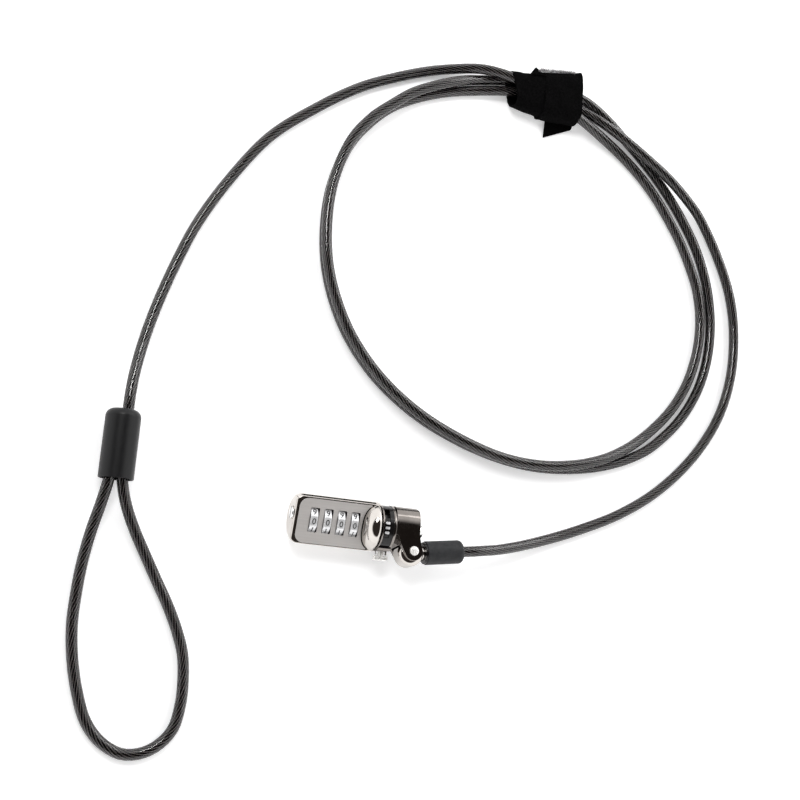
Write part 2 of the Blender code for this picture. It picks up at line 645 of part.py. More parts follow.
def make_yoke(yoke_frame):
    """A drum cut to the plan of two slanted ears, with a slot for the cable lug."""
    x0, x1 = YOKE
    beyond = 6 * MM
    side = [(YOKE_RADIUS * cos(a), YOKE_RADIUS * sin(a)) for a in steps_between(-pi / 2, pi / 2, 12)]
    side += [(-4 * MM, 9.1 * MM), (-8 * MM, EAR_TOP), (-16 * MM, EAR_TOP - 0.8 * MM)]
    side += [(-16 * MM, 0.8 * MM - EAR_TOP), (-8 * MM, -EAR_TOP), (-4 * MM, -9.1 * MM)]
    yoke = flat("yoke", [side], x1 - x0 + beyond)
    turn = Matrix(((0, 0, 1), (1, 0, 0), (0, 1, 0)))
    yoke.data.transform(Matrix.Translation(((x0 + x1 + beyond) / 2, 0, 0)) @ turn.to_4x4())
    weld(yoke.data)
    place(yoke, yoke_frame)
    plan = [(x0, YOKE_TOP), (x1 - 2.6 * MM, YOKE_TOP)]
    plan += arc((x1 - YOKE_CORNER, 6.6 * MM), YOKE_CORNER, pi / 4, 0, 4)
    plan += [(x1, -4.0 * MM)]
    plan += arc(PIN_AT, EAR_RADIUS, radians(25), radians(-150), 14)
    plan += [(x0, -3.2 * MM)]
    keep = flat("yoke_plan", [plan], 30 * MM)
    guide(place(keep, yoke_frame, collection=CUTTERS))
    combine(yoke, keep, "INTERSECT")
    eye_start = PIN_AT[0] - EYE_RADIUS - 0.4 * MM
    cut(yoke, block("lug_slot", (eye_start, -20 * MM, -SLOT_HALF), (70 * MM, SLOT_FLOOR, SLOT_HALF)),
        yoke_frame)
    cut(yoke, turned("post_bore", rod_profile(POST_RADIUS + GAP, 40 * MM, 62 * MM), 32), yoke_frame,
        **along_x())
    cut(yoke, turned("washer_recess", rod_profile(RECESS_RADIUS, 44 * MM, RECESS_FLOOR), 32), yoke_frame,
        **along_x())
    cut(yoke, turned("rivet_hole", rod_profile(RIVET_RADIUS + GAP, -12 * MM, 12 * MM), 24), yoke_frame,
        (*PIN_AT, 0))
    finish(yoke, black_nickel())
    washer = turned("swivel_washer", ring_profile(WASHER_RADIUS, POST_RADIUS + GAP, *WASHER), 32)
    finish(place(washer, yoke_frame, **along_x()), bright_steel())


def make_rivet(yoke_frame):
    head_radius, head_height = RIVET_HEAD
    low = EAR_TOP + GAP
    high = low + head_height
    profile = [(0, high), (head_radius - RIVET_EDGE, high), (head_radius, high - RIVET_EDGE),
               (head_radius, low), (RIVET_RADIUS, low), (RIVET_RADIUS, -low), (head_radius, -low),
               (head_radius, RIVET_EDGE - high), (head_radius - RIVET_EDGE, -high), (0, -high)]
    rivet = turned("yoke_rivet", profile, 28)
    finish(place(rivet, yoke_frame, (*PIN_AT, 0)), bright_steel())


def make_lug(lug_frame):
    bore = RIVET_RADIUS + GAP
    profile = [(EYE_RADIUS - EYE_EDGE, EYE_HALF), (EYE_RADIUS, EYE_HALF - EYE_EDGE),
               (EYE_RADIUS, EYE_EDGE - EYE_HALF), (EYE_RADIUS - EYE_EDGE, -EYE_HALF), (bore, -EYE_HALF),
               (bore, EYE_HALF), (EYE_RADIUS - EYE_EDGE, EYE_HALF)]
    lug = place(turned("cable_lug", profile), lug_frame)
    join(lug, turned("lug_neck", rod_profile(NECK_RADIUS, *NECK), 24), lug_frame, **along_x())
    finish(lug, black_nickel())


def make_ferrule_and_boot(lug_frame):
    low, high = FERRULE
    hole = CABLE_RADIUS + GAP
    profile = [(LIP_RADIUS, low + LIP_WIDTH), (LIP_RADIUS, low), (NECK_RADIUS + GAP, low),
               (NECK_RADIUS + GAP, FERRULE_STEP), (hole, FERRULE_STEP), (hole, high), (FERRULE_RADIUS, high),
               (FERRULE_RADIUS, low + LIP_WIDTH), (LIP_RADIUS, low + LIP_WIDTH)]
    ferrule = turned("lug_ferrule", profile, 32)
    finish(place(ferrule, lug_frame, **along_x()), black_nickel())
    x0, x1 = BOOT
    inner = FERRULE_RADIUS + GAP
    profile = arc((BOOT_RADIUS - BOOT_EDGE, x1 - BOOT_EDGE), BOOT_EDGE, pi / 2, 0)
    profile += [(BOOT_RADIUS, x0), (inner, x0), (inner, high + GAP), (hole, high + GAP), (hole, x1),
                profile[0]]
    boot = turned("cable_boot", profile, 40)
    finish(place(boot, lug_frame, **along_x()), rubber())


def smooth_route(route, count):
    """Count points, evenly spaced, on a smooth curve through the route's points."""
    knots = [Vector(p) * MM for p in route]
    fine = []
    for i in range(len(knots) - 1):
        before = knots[max(i - 1, 0)]
        after = knots[min(i + 2, len(knots) - 1)]
        start, end = knots[i], knots[i + 1]
        reach = (end - start).length / 3
        leave = (end - before).normalized() * reach
        arrive = (after - start).normalized() * reach
        fine += interpolate_bezier(start, start + leave, end - arrive, end, 17)[:-1]
    fine.append(knots[-1])
    travelled = [0.0]
    for a, b in zip(fine, fine[1:]):
        travelled.append(travelled[-1] + (b - a).length)
    points, j = [], 0
    for i in range(count):
        goal = travelled[-1] * i / (count - 1)
        while j < len(fine) - 2 and travelled[j + 1] < goal:
            j += 1
        share = (goal - travelled[j]) / (travelled[j + 1] - travelled[j])
        points.append(fine[j].lerp(fine[j + 1], min(max(share, 0.0), 1.0)))
    return points


def make_cable():
    run = tube("cable_run", smooth_route(RUN_ROUTE, RUN_POINTS), CABLE_RADIUS, 2)
    finish(place(run), clear_vinyl())
    loop = tube("cable_loop", smooth_route(LOOP_ROUTE, LOOP_POINTS), CABLE_RADIUS, 2)
    finish(place(loop), clear_vinyl())


def make_crimp():
    frame = pivot("crimp_frame", at=CRIMP_AT)
    half = CRIMP_LENGTH / 2
    hole = CABLE_RADIUS + GAP
    wall = half - CRIMP_END_WALL
    centre = (CRIMP_RADIUS - CRIMP_SHOULDER, half - CRIMP_SHOULDER)
    profile = [(0, half)] + arc(centre, CRIMP_SHOULDER, pi / 2, 0)
    profile += [(CRIMP_RADIUS, -half), (CRIMP_BORE, -half), (CRIMP_BORE, wall), (0, wall)]
    cover = place(turned("crimp_cover", profile, 48), frame, turn=(-pi / 2, 0, 0))
    entry = turned("cable_entry", rod_profile(hole, wall - CRIMP_END_WALL, half + CRIMP_END_WALL), 24)
    cut(cover, entry, frame, (CRIMP_ENTRY, 0, 0), (-pi / 2, 0, 0))
    finish(cover, rubber())
    radius, length = CRIMP_FERRULE
    outline = arc((STRAND_OFFSET, 0), radius, -pi / 2, pi / 2, 10)
    outline += arc((-STRAND_OFFSET, 0), radius, pi / 2, 1.5 * pi, 10)
    ferrule = flat("crimp_ferrule", [outline], length)
    finish(place(ferrule, frame, turn=(-pi / 2, 0, 0)), bright_steel())


def rounded_box(low, high, radius, count=5):
    (x0, y0), (x1, y1) = low, high
    outline = arc((x1 - radius, y1 - radius), radius, 0, pi / 2, count)
    outline += arc((x0 + radius, y1 - radius), radius, pi / 2, pi, count)
    outline += arc((x0 + radius, y0 + radius), radius, pi, 1.5 * pi, count)
    outline += arc((x1 - radius, y0 + radius), radius, 1.5 * pi, 2 * pi, count)
    return outline


def make_cable_tie():
    """A band round the three strands of the coil, with its free tail lying on the floor."""
    frame = pivot("tie_frame", at=TIE_AT, turn=(0, 0, TIE_TURN))
    low, high = TIE_SIDES
    wall = TIE_WALL
    outer = rounded_box((low, 0), (high, TIE_HEIGHT), TIE_CORNER)
    inner = rounded_box((low + wall, wall), (high - wall, TIE_HEIGHT - wall), TIE_CORNER - wall)
    tie = flat("cable_tie", [outer, inner], TIE_LENGTH)
    turn = Matrix(((0, 0, 1), (1, 0, 0), (0, 1, 0)))
    tie.data.transform(turn.to_4x4())
    weld(tie.data)
    place(tie, frame)
    tail = flat("tie_tail", [TIE_TAIL], wall)
    join(tie, tail, frame, (0, 0, TIE_TAIL_HEIGHT))
    finish(tie, webbing())


clear_scene()
PARTS = new_collection("laptop_cable_lock")
CUTTERS = new_collection("cutters")
HEAD = pivot("head_axis", at=ORIGIN)
DIALS = pivot("dial_frame", HEAD, turn=(DIAL_ROLL, 0, 0))
YOKE_FRAME = pivot("yoke_frame", HEAD, turn=(YOKE_ROLL, 0, 0))
LUG_FRAME = pivot("lug_frame", YOKE_FRAME, (*PIN_AT, 0), (0, 0, LUG_TURN))
make_body(DIALS)
make_dial_plate(DIALS)
make_dials(DIALS)
make_spindle(DIALS)
make_detent_and_fence(DIALS)
make_reset_screw(DIALS)
make_collar(HEAD)
make_slider(HEAD)
make_tbar(HEAD)
make_abutment_pins(HEAD)
make_swivel_post(HEAD)
make_yoke(YOKE_FRAME)
make_rivet(YOKE_FRAME)
make_lug(LUG_FRAME)
make_ferrule_and_boot(LUG_FRAME)
make_cable()
make_crimp()
make_cable_tie()
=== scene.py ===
"""Looks of the laptop cable lock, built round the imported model.

Pieces are made in the row frame, in metres. Shapes turned or pushed out of an outline are first drawn in
a local frame: the head, its dials, its yoke and its cable lug each have one, read from the joints.
"""

import json
import random
from math import atan2, ceil, cos, pi, radians, sin, sqrt

import bmesh
import bpy
from mathutils import Matrix, Vector, noise
from mathutils.geometry import interpolate_bezier


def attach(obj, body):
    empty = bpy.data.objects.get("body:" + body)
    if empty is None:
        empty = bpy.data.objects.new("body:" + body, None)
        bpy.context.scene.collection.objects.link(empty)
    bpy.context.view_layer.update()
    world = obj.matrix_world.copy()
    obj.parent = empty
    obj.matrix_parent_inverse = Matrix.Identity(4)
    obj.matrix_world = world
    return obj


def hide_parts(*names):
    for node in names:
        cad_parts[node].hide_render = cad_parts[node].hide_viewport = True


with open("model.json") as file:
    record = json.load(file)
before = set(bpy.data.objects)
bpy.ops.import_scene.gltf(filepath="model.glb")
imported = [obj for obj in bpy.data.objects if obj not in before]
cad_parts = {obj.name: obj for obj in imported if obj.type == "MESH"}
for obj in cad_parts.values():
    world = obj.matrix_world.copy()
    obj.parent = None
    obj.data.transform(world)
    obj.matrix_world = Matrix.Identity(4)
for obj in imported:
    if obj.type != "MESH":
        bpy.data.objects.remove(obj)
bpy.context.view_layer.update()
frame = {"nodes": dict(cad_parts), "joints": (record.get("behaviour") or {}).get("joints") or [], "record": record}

MM = 0.001

# Camera, in the row frame. The lens is for a square picture on a 36 mm sensor.
VIEW_TARGET = Vector((8.74, 63.89, 0)) * MM
VIEW_DISTANCE = 605.2 * MM
VIEW_TILT = radians(22)
VIEW_HEADING = radians(28.5)
VIEW_ROLL = radians(21.7)
LENS = 58.0

# Middle of the dark opening above the white surroundings.
DARK_AXIS = (-0.20, -0.11, 0.97)

# Head.
BARREL_RADIUS = 11.2 * MM
BARREL_LENGTH = 39.3 * MM
END_ROUND = 3.5 * MM
FRONT_ROUND = 0.6 * MM
RIM_HEIGHT = 3.4 * MM
RIM_ROUND = 0.5 * MM
FLAT_ROUND = 1.4 * MM
PLATE_BED = 2.2 * MM
PLATE = (2.5 * MM, 3.75 * MM)
PLATE_START = 1.8 * MM
PLATE_HALF_WIDTH = 10.1 * MM
PLATE_CORNER = 4.0 * MM
PLATE_BEVEL = 0.28 * MM
DOME_END = 39.2 * MM
DOME_ROUTE = [
    (31.9, 0, 0), (31.95, 3.5, 0), (32.3, 5.9, 0), (33.0, 7.7, 0), (34.0, 9.1, 0), (35.1, 10.0, 0),
    (36.2, 10.6, 0), (37.3, 10.95, 0), (38.0, 10.95, 0), (38.6, 10.6, 0), (39.2, 9.7, 0),
]
DOME_STEP = 0.35 * MM
LEDGE = (10.8 * MM, 1.3 * MM)
END_LINE = (0.65 * MM, 0.87 * MM, 9.55 * MM)
CAVITY = (3.6 * MM, 31.0 * MM)
CAVITY_RADIUS = 9.6 * MM
GROOVE = 0.35 * MM

# Dials.
DIAL_FACES = 10
DIAL_RADIUS = 7.0 * MM
DIAL_WIDTH = 3.3 * MM
DIAL_BORE = 4.2 * MM
WINDOW = (4.1 * MM, 11.1 * MM)
WINDOW_SHIFT = 0.5 * MM
DIGIT_HEIGHT = 2.7 * MM
FONT_SIZE = 1.35 * DIGIT_HEIGHT

# Collar, slider and cleat, along the head.
COLLAR = (39.6 * MM, 46.0 * MM)
COLLAR_RADIUS = 10.2 * MM
COLLAR_BORE = 8.3 * MM
COLLAR_LIP = (0.7 * MM, 1.2 * MM)
LIP_RISE = 0.25 * MM
# How far round from the top the collar's middle band is coloured black gloss: a painted dark reflection on the
# nickel collar.
DARK_REFLECTION_REACH = radians(125)
PAD = (10.7 * MM, 4.3 * MM)
CHANNEL = (1.6 * MM, 0.4 * MM)
PIN_OFFSET = 2.35 * MM
PIN_HOLE_RADIUS = 0.56 * MM
SLIDER = (40.5 * MM, 42.7 * MM)
SLIDER_ARC = (radians(-20), radians(29))
SLIDER_WINDOW = (radians(-50), radians(31))
FLANGE_REACH = radians(31)
CLEAT = (6.6 * MM, 2.2 * MM, 2.7 * MM)
CLEAT_FACE = 15.0 * MM
CLEAT_ROUND = 0.75 * MM
STEM_RADIUS = 1.3 * MM

# Post, yoke, rivet and lug.
POST_RADIUS = 2.6 * MM
POST_FLANGE = (43.0 * MM, 44.0 * MM, 4.2 * MM)
POST_BORE = 2.9 * MM
CAP = (57.8 * MM, 61.4 * MM)
CAP_RADIUS = 3.5 * MM
CAP_GROOVE = (1.4 * MM, 1.8 * MM, 0.4 * MM)
YOKE = (46.4 * MM, 57.5 * MM)
YOKE_RADIUS = 9.7 * MM
YOKE_HALF_DEPTH = 9.5 * MM
YOKE_BLUNT = 0.66
EAR_RADIUS = 4.2 * MM
EAR_TOP = 7.6 * MM
SLOT_HALF = 5.3 * MM
RIVET_RADIUS = 1.5 * MM
RIVET_HEAD = (2.15 * MM, 0.8 * MM)
RIVET_BORE = 1.7 * MM
LUG_TURN = radians(8)
EYE_RADIUS = 6.1 * MM
EYE_HALF = 5.0 * MM
EYE_ROUND = 2.4 * MM
FERRULE = (7.2 * MM, 24.0 * MM)
BOOT = (8.1 * MM, 26.4 * MM)
BOOT_RADIUS = 5.4 * MM
BOOT_END = 2.2 * MM

# Cable: steel rope in clear vinyl.
CABLE_RADIUS = 2.5 * MM
ROPE_RADIUS = 2.2 * MM
ROPE_STRANDS = 12
STRAND_POINTS = 4
ROPE_LAY = 42 * MM
JACKET_STEP = 2.5 * MM
ROPE_STEP = 1.8 * MM
CABLE_START = 24.6 * MM

# Crimp and tie.
CRIMP_AT = Vector((-118.4, 25.3, 7.6)) * MM
CRIMP_HALF = 15.0 * MM
CRIMP_RADIUS = 7.6 * MM
CRIMP_BORE = 6.8 * MM
CRIMP_SHOULDER = 3.4 * MM
CRIMP_ENTRY = 1.7 * MM
STRAND_OFFSET = 2.75 * MM
TIE_AT = Vector((69.5, 227.0, 0.0)) * MM
TIE_TURN = radians(4.7)
STRAP_THICKNESS = 1.1 * MM
STRAP_POINTS = 72
STRAP_ROWS = 14

# The tie's outlines are drawn in millimetres.
STRAP_ROUND = 5.5
PILE_WIDTH = 0.05

# The cable's route, as (x, y, height of its middle) in millimetres: from the boot to the crimp, through the
# crimp, round the end loop, and back into the crimp.
RUN_ROUTE = [
    (42.2, -4.2, 12.1), (50.5, -3.0, 11.8), (64, -0.5, 8.6), (85, 5.5, 3.7), (106.1, 13.4, 2.5),
    (127.6, 23.5, 2.5), (148, 37.2, 2.5), (167, 56.2, 2.5), (180.7, 77.6, 2.5), (187.5, 99, 2.5),
    (189, 121, 2.5), (186, 142, 2.5), (178, 162, 2.5), (164.5, 182, 4.0), (153, 191.3, 6.4),
    (141, 199.3, 7.9), (128, 207, 8.0), (116, 214, 7.4), (105, 220, 6.2), (93, 225, 4.7),
    (79, 227.3, 4.3), (65, 228, 4.3), (50, 226.7, 4.3), (34, 223.8, 2.6), (18, 219.2, 2.5),
    (3, 212.7, 2.5), (-9.4, 205.1, 2.5), (-20, 194.5, 2.5), (-29, 181, 2.5), (-35.4, 160.5, 2.5),
    (-36.7, 141, 2.5), (-34.4, 121.6, 2.5), (-28.3, 103.7, 2.5), (-18.4, 86.8, 2.5), (-3.5, 71, 2.5),
    (16.4, 57.6, 2.5), (39.2, 48.1, 2.5), (61, 42.6, 2.5), (81, 40.8, 2.5), (101, 42.5, 2.5),
    (120, 47, 2.5), (138.5, 55.5, 2.5), (151, 66, 2.5), (160, 76.5, 2.5), (167, 88.5, 2.5),
    (171.3, 100, 2.5), (173.8, 113, 2.5), (174.3, 127, 2.5), (172.5, 141, 2.5), (169, 153.5, 2.5),
    (163, 167, 2.5), (154.5, 180, 2.5), (144, 193, 2.5), (131, 205.8, 2.5), (117.5, 216.8, 2.6),
    (105, 225.6, 3.4), (92, 231.6, 4.2), (79, 233.1, 4.3), (65, 233.6, 4.3), (50, 232.2, 4.3),
    (34.5, 229.2, 3.5), (23, 224.8, 6.6), (11, 219.3, 7.6), (-1, 212.6, 7.7), (-10, 205.2, 7.7),
    (-20.8, 195, 7.7), (-29.9, 181.3, 7.7), (-36.1, 160.6, 7.7), (-37.3, 141, 7.7),
    (-34.9, 121.4, 7.7), (-28.6, 103.4, 7.7), (-18.5, 86.4, 7.7), (-3.4, 70.6, 7.7),
    (16.4, 57.3, 7.7), (39.1, 47.8, 7.7), (61.1, 42.2, 7.7), (81, 41.3, 7.7), (98, 43.6, 7.7),
    (112, 47.8, 7.2), (124, 53.5, 5.4), (134.5, 60.3, 3.3), (145, 69.5, 2.5), (154, 80, 2.5),
    (161, 92, 2.5), (165.3, 104, 2.5), (167.8, 117, 2.5), (168, 130, 2.5), (165.7, 143, 2.5),
    (160.6, 155.6, 2.5), (154.3, 167.4, 2.5), (146.5, 178.6, 2.5), (137.9, 189.2, 2.5), (128.2, 198.7, 2.5),
    (117.3, 206.8, 2.7), (105, 213.4, 4.2), (90, 219.6, 7.0), (77, 223.4, 9.2), (65, 228, 9.4),
    (55, 230.7, 9.5), (45.2, 232.5, 9.2), (33.7, 233.5, 6.9), (21, 231.6, 4.1), (7, 227.5, 2.6),
    (-8, 221, 2.5), (-26, 211.5, 2.5), (-45, 197.5, 2.5), (-67, 177.5, 2.5), (-84, 152.5, 2.5),
    (-96, 129.5, 2.5), (-103, 110.5, 2.5), (-109, 90.5, 2.5), (-113.1, 73, 3.5),
    (-115.8, 57, 6.1), (-116.6, 47, 7.3), (-116.7, 41.1, 7.6),
]
CRIMP_ROUTE = [(-116.7, 36, 7.6), (-116.4, 31, 7.6), (-115.9, 26, 7.6), (-115.65, 20, 7.6)]
LOOP_ROUTE = [
    (-115.65, 14, 7.6), (-115.5, 10, 7.5), (-112.6, 0.5, 6.2), (-107.4, -10, 4.4), (-101.4, -20, 3.0),
    (-95.4, -30, 2.5), (-89.4, -40, 2.5), (-84.3, -50, 2.5), (-80.5, -60, 2.5), (-79, -70, 2.5),
    (-78.9, -81.6, 2.5), (-81.4, -92.5, 2.5), (-89.5, -100.6, 2.5), (-100.4, -103, 2.5),
    (-110.4, -98.5, 2.5), (-117.6, -90.5, 2.5), (-122.3, -79.5, 2.5), (-125.9, -66.5, 2.5),
    (-128, -52, 2.5), (-128, -39, 2.5), (-127.2, -26, 2.8), (-125.5, -13, 4.6), (-122.9, 0, 6.4),
    (-121.3, 9.5, 7.5), (-121.15, 14, 7.6),
]
TAIL_ROUTE = [(-121.15, 19, 7.6), (-121.15, 24, 7.6)]

# Local frames, read from the joints. +X runs along the head, or along the cable lug.
JOINTS = {joint["name"]: joint for joint in frame["joints"]}
HEAD = Matrix.Translation(JOINTS["head_swivel"]["pos_m"])
FENCE_AXIS = JOINTS["fence_slide"]["axis"]
DIALS = HEAD @ Matrix.Rotation(atan2(FENCE_AXIS[2], FENCE_AXIS[1]), 4, "X")
YOKE_AXIS = JOINTS["yoke_pivot"]["axis"]
YOKE_FRAME = HEAD @ Matrix.Rotation(-atan2(YOKE_AXIS[1], YOKE_AXIS[2]), 4, "X")
PIN = YOKE_FRAME.inverted() @ Vector(JOINTS["yoke_pivot"]["pos_m"])
LUG = YOKE_FRAME @ Matrix.Translation(PIN) @ Matrix.Rotation(LUG_TURN, 4, "Z")
RESET = DIALS @ Matrix.Translation(DIALS.inverted() @ Vector(JOINTS["reset_screw_turn"]["pos_m"]))
CLEAT_X = (HEAD.inverted() @ Vector(JOINTS["tbar_turn"]["pos_m"])).x
TIE = Matrix.Translation(TIE_AT) @ Matrix.Rotation(TIE_TURN, 4, "Z")
CRIMP = Matrix.Translation(CRIMP_AT) @ Matrix.Rotation(pi / 2, 4, "Z")

# Turns of a local frame: an outline's XY is laid across X, or a turned shape's X along another axis.
ACROSS_X = Matrix(((0, 0, 1, 0), (1, 0, 0, 0), (0, 1, 0, 0), (0, 0, 0, 1)))
ROUND_X = Matrix(((0, 0, 1, 0), (0, -1, 0, 0), (1, 0, 0, 0), (0, 0, 0, 1)))
TO_Z = Matrix.Rotation(-pi / 2, 4, "Y")
TO_MINUS_Y = Matrix.Rotation(-pi / 2, 4, "Z")
RIVET_FRAME = YOKE_FRAME @ Matrix.Translation((PIN.x, PIN.y, 0)) @ TO_Z


# ---- Stage ----

def make_camera():
    ahead = Vector((cos(VIEW_HEADING), sin(VIEW_HEADING), 0))
    up = Vector((0, 0, 1))
    side = up.cross(ahead)
    look = sin(VIEW_TILT) * ahead - cos(VIEW_TILT) * up
    tilted = sin(VIEW_TILT) * up + cos(VIEW_TILT) * ahead
    right = cos(VIEW_ROLL) * tilted - sin(VIEW_ROLL) * side
    top = sin(VIEW_ROLL) * tilted + cos(VIEW_ROLL) * side
    data = bpy.data.cameras.new("camera")
    data.lens = LENS
    data.clip_start = 0.01
    camera = bpy.data.objects.new("camera", data)
    bpy.context.scene.collection.objects.link(camera)
    turn = Matrix((right, top, -look)).transposed().to_4x4()
    camera.matrix_world = Matrix.Translation(VIEW_TARGET - look * VIEW_DISTANCE) @ turn
    bpy.context.scene.camera = camera
    bpy.context.scene.view_settings.view_transform = "Standard"


def make_floor():
    bpy.ops.mesh.primitive_plane_add(size=8, location=(0, 0, 0))
    floor = bpy.context.active_object
    floor.name = "floor"
    look, _, _, bsdf = new_material("floor_white", (0.96, 0.96, 0.965), 0.0, 0.6)
    bsdf.inputs["Emission Color"].default_value = (1.0, 1.0, 1.0, 1.0)
    bsdf.inputs["Emission Strength"].default_value = 0.3
    bsdf.inputs["Specular IOR Level"].default_value = 0.15
    floor.data.materials.append(look)


def make_world():
    """White all round, and dark overhead on one side, as in a tent with an opening there."""
    world = bpy.data.worlds.new("studio")
    bpy.context.scene.world = world
    world.use_nodes = True
    nodes, links = world.node_tree.nodes, world.node_tree.links
    background = nodes["Background"]
    place = nodes.new("ShaderNodeTexCoord")
    above = nodes.new("ShaderNodeVectorMath")
    above.operation = "DOT_PRODUCT"
    above.inputs[1].default_value = Vector(DARK_AXIS).normalized()
    ramp = nodes.new("ShaderNodeValToRGB")
    ramp.color_ramp.elements[0].position = 0.66
    ramp.color_ramp.elements[0].color = (1.0, 1.0, 1.0, 1)
    ramp.color_ramp.elements[1].position = 0.75
    ramp.color_ramp.elements[1].color = (0.025, 0.021, 0.019, 1)
    background.inputs["Strength"].default_value = 1.6
    links.new(place.outputs["Generated"], above.inputs[0])
    links.new(above.outputs["Value"], ramp.inputs["Fac"])
    links.new(ramp.outputs["Color"], background.inputs["Color"])


def make_light(name, towards, distance, size, radiance):
    """A rectangular soft box. Towards is its direction from the middle of the object."""
    data = bpy.data.lights.new(name, "AREA")
    data.shape = "RECTANGLE"
    data.size, data.size_y = size
    data.energy = radiance * pi * size[0] * size[1]
    light = bpy.data.objects.new(name, data)
    bpy.context.scene.collection.objects.link(light)
    towards = Vector(towards).normalized()
    light.location = VIEW_TARGET + towards * distance
    light.rotation_euler = towards.to_track_quat("Z", "Y").to_euler()


# ---- Shape helpers ----

def arc(centre, radius, start, end, count=8):
    """Points on an arc, in order from start to end."""
    steps = [start + (end - start) * i / count for i in range(count + 1)]
    return [(centre[0] + radius * cos(a), centre[1] + radius * sin(a)) for a in steps]


def soften(points, radius, closed=True, count=4):
    """The outline with each corner rounded. An open outline keeps its two ends."""
    rounded = []
    for i, point in enumerate(points):
        if not closed and i in (0, len(points) - 1):
            rounded.append(point)
            continue
        before, corner, after = (Vector(points[j % len(points)]) for j in (i - 1, i, i + 1))
        back, on = before - corner, after - corner
        reach = min(radius, 0.45 * back.length, 0.45 * on.length)
        start, end = corner + back.normalized() * reach, corner + on.normalized() * reach
        for k in range(count + 1):
            t = k / count
            rounded.append(tuple(start.lerp(corner, t).lerp(corner.lerp(end, t), t)))
    return rounded


def to_object(name, form, place=Matrix()):
    """An object from a bmesh drawn in a local frame."""
    bmesh.ops.transform(form, matrix=place, verts=form.verts)
    bmesh.ops.remove_doubles(form, verts=form.verts, dist=0.000002)
    bmesh.ops.recalc_face_normals(form, faces=form.faces)
    mesh = bpy.data.meshes.new(name)
    form.to_mesh(mesh)
    form.free()
    piece = bpy.data.objects.new(name, mesh)
    bpy.context.scene.collection.objects.link(piece)
    return piece


def lathe(name, place, profile, steps=96, closed=False):
    """A profile of (x, radius) turned about local X."""
    form = bmesh.new()
    rings = []
    for x, radius in profile:
        if radius < 0.000001:
            rings.append([form.verts.new((x, 0, 0))] * steps)
        else:
            angles = [2 * pi * i / steps for i in range(steps)]
            rings.append([form.verts.new((x, radius * cos(a), radius * sin(a))) for a in angles])
    pairs = list(zip(rings, rings[1:]))
    if closed:
        pairs.append((rings[-1], rings[0]))
    for first, second in pairs:
        for i in range(steps):
            j = (i + 1) % steps
            corners = [first[i], first[j], second[j], second[i]]
            corners = [v for k, v in enumerate(corners) if v not in corners[:k]]
            if len(corners) > 2:
                form.faces.new(corners)
    return to_object(name, form, place)


def rod(name, place, x0, x1, radius, steps=48):
    """A plain cylinder along local X."""
    return lathe(name, place, [(x0, 0), (x0, radius), (x1, radius), (x1, 0)], steps)


def prism(name, place, outline, low, high, edge=0.0):
    """An outline in local XY pushed from low to high, with rounded end edges."""
    form = bmesh.new()
    base = form.faces.new([form.verts.new((x, y, low)) for x, y in outline])
    pushed = bmesh.ops.extrude_face_region(form, geom=[base])
    top = [item for item in pushed["geom"] if isinstance(item, bmesh.types.BMVert)]
    bmesh.ops.translate(form, verts=top, vec=(0, 0, high - low))
    if edge:
        ends = [e for e in form.edges if abs(e.verts[0].co.z - e.verts[1].co.z) < 0.000001]
        bmesh.ops.bevel(form, geom=ends, offset=edge, segments=3, profile=0.5, affect="EDGES")
    return to_object(name, form, place)


def box(name, place, low, high):
    outline = [(low[0], low[1]), (high[0], low[1]), (high[0], high[1]), (low[0], high[1])]
    return prism(name, place, outline, low[2], high[2])


def settle(piece):
    """Makes the piece's modifiers part of its mesh."""
    bpy.context.view_layer.update()
    graph = bpy.context.evaluated_depsgraph_get()
    mesh = bpy.data.meshes.new_from_object(piece.evaluated_get(graph))
    piece.modifiers.clear()
    piece.data = mesh
    return piece


def carve(piece, *tools, operation="DIFFERENCE"):
    for tool in tools:
        step = piece.modifiers.new(tool.name, "BOOLEAN")
        step.operation = operation
        step.object = tool
        step.solver = "EXACT"
        settle(piece)
        bpy.data.objects.remove(tool, do_unlink=True)
    return piece


def join(piece, *tools):
    return carve(piece, *tools, operation="UNION")


def ease(piece, width, angle=35, segments=3):
    """Rounds the piece's sharp edges."""
    bevel = piece.modifiers.new("ease", "BEVEL")
    bevel.width = width
    bevel.segments = segments
    bevel.limit_method = "ANGLE"
    bevel.angle_limit = radians(angle)
    bevel.miter_outer = "MITER_ARC"
    return settle(piece)


def show(piece, look, body, slot, *nodes, sharp=40):
    """Shades the piece, gives it its material and says what it rides on and stands for."""
    piece.data.shade_smooth()
    piece.data.set_sharp_from_angle(angle=radians(sharp))
    weigh = piece.modifiers.new("weigh", "WEIGHTED_NORMAL")
    weigh.keep_sharp = True
    piece.data.materials.clear()
    piece.data.materials.append(look)
    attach(piece, body)
    if nodes:
        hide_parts(*nodes)
    return piece


# ---- Materials ----

def new_material(name, colour, metallic, roughness):
    look = bpy.data.materials.new(name)
    look.use_nodes = True
    nodes, links = look.node_tree.nodes, look.node_tree.links
    bsdf = nodes["Principled BSDF"]
    bsdf.inputs["Base Color"].default_value = (*colour, 1)
    bsdf.inputs["Metallic"].default_value = metallic
    bsdf.inputs["Roughness"].default_value = roughness
    return look, nodes, links, bsdf


def add_noise(look, scale, stretch=(1, 1, 1), detail=4.0):
    """A noise texture on the piece's own coordinates, in features per metre."""
    nodes, links = look.node_tree.nodes, look.node_tree.links
    place = nodes.new("ShaderNodeTexCoord")
    mapping = nodes.new("ShaderNodeMapping")
    mapping.inputs["Scale"].default_value = stretch
    texture = nodes.new("ShaderNodeTexNoise")
    texture.inputs["Scale"].default_value = scale
    texture.inputs["Detail"].default_value = detail
    links.new(place.outputs["Object"], mapping.inputs["Vector"])
    links.new(mapping.outputs["Vector"], texture.inputs["Vector"])
    return texture.outputs["Fac"]


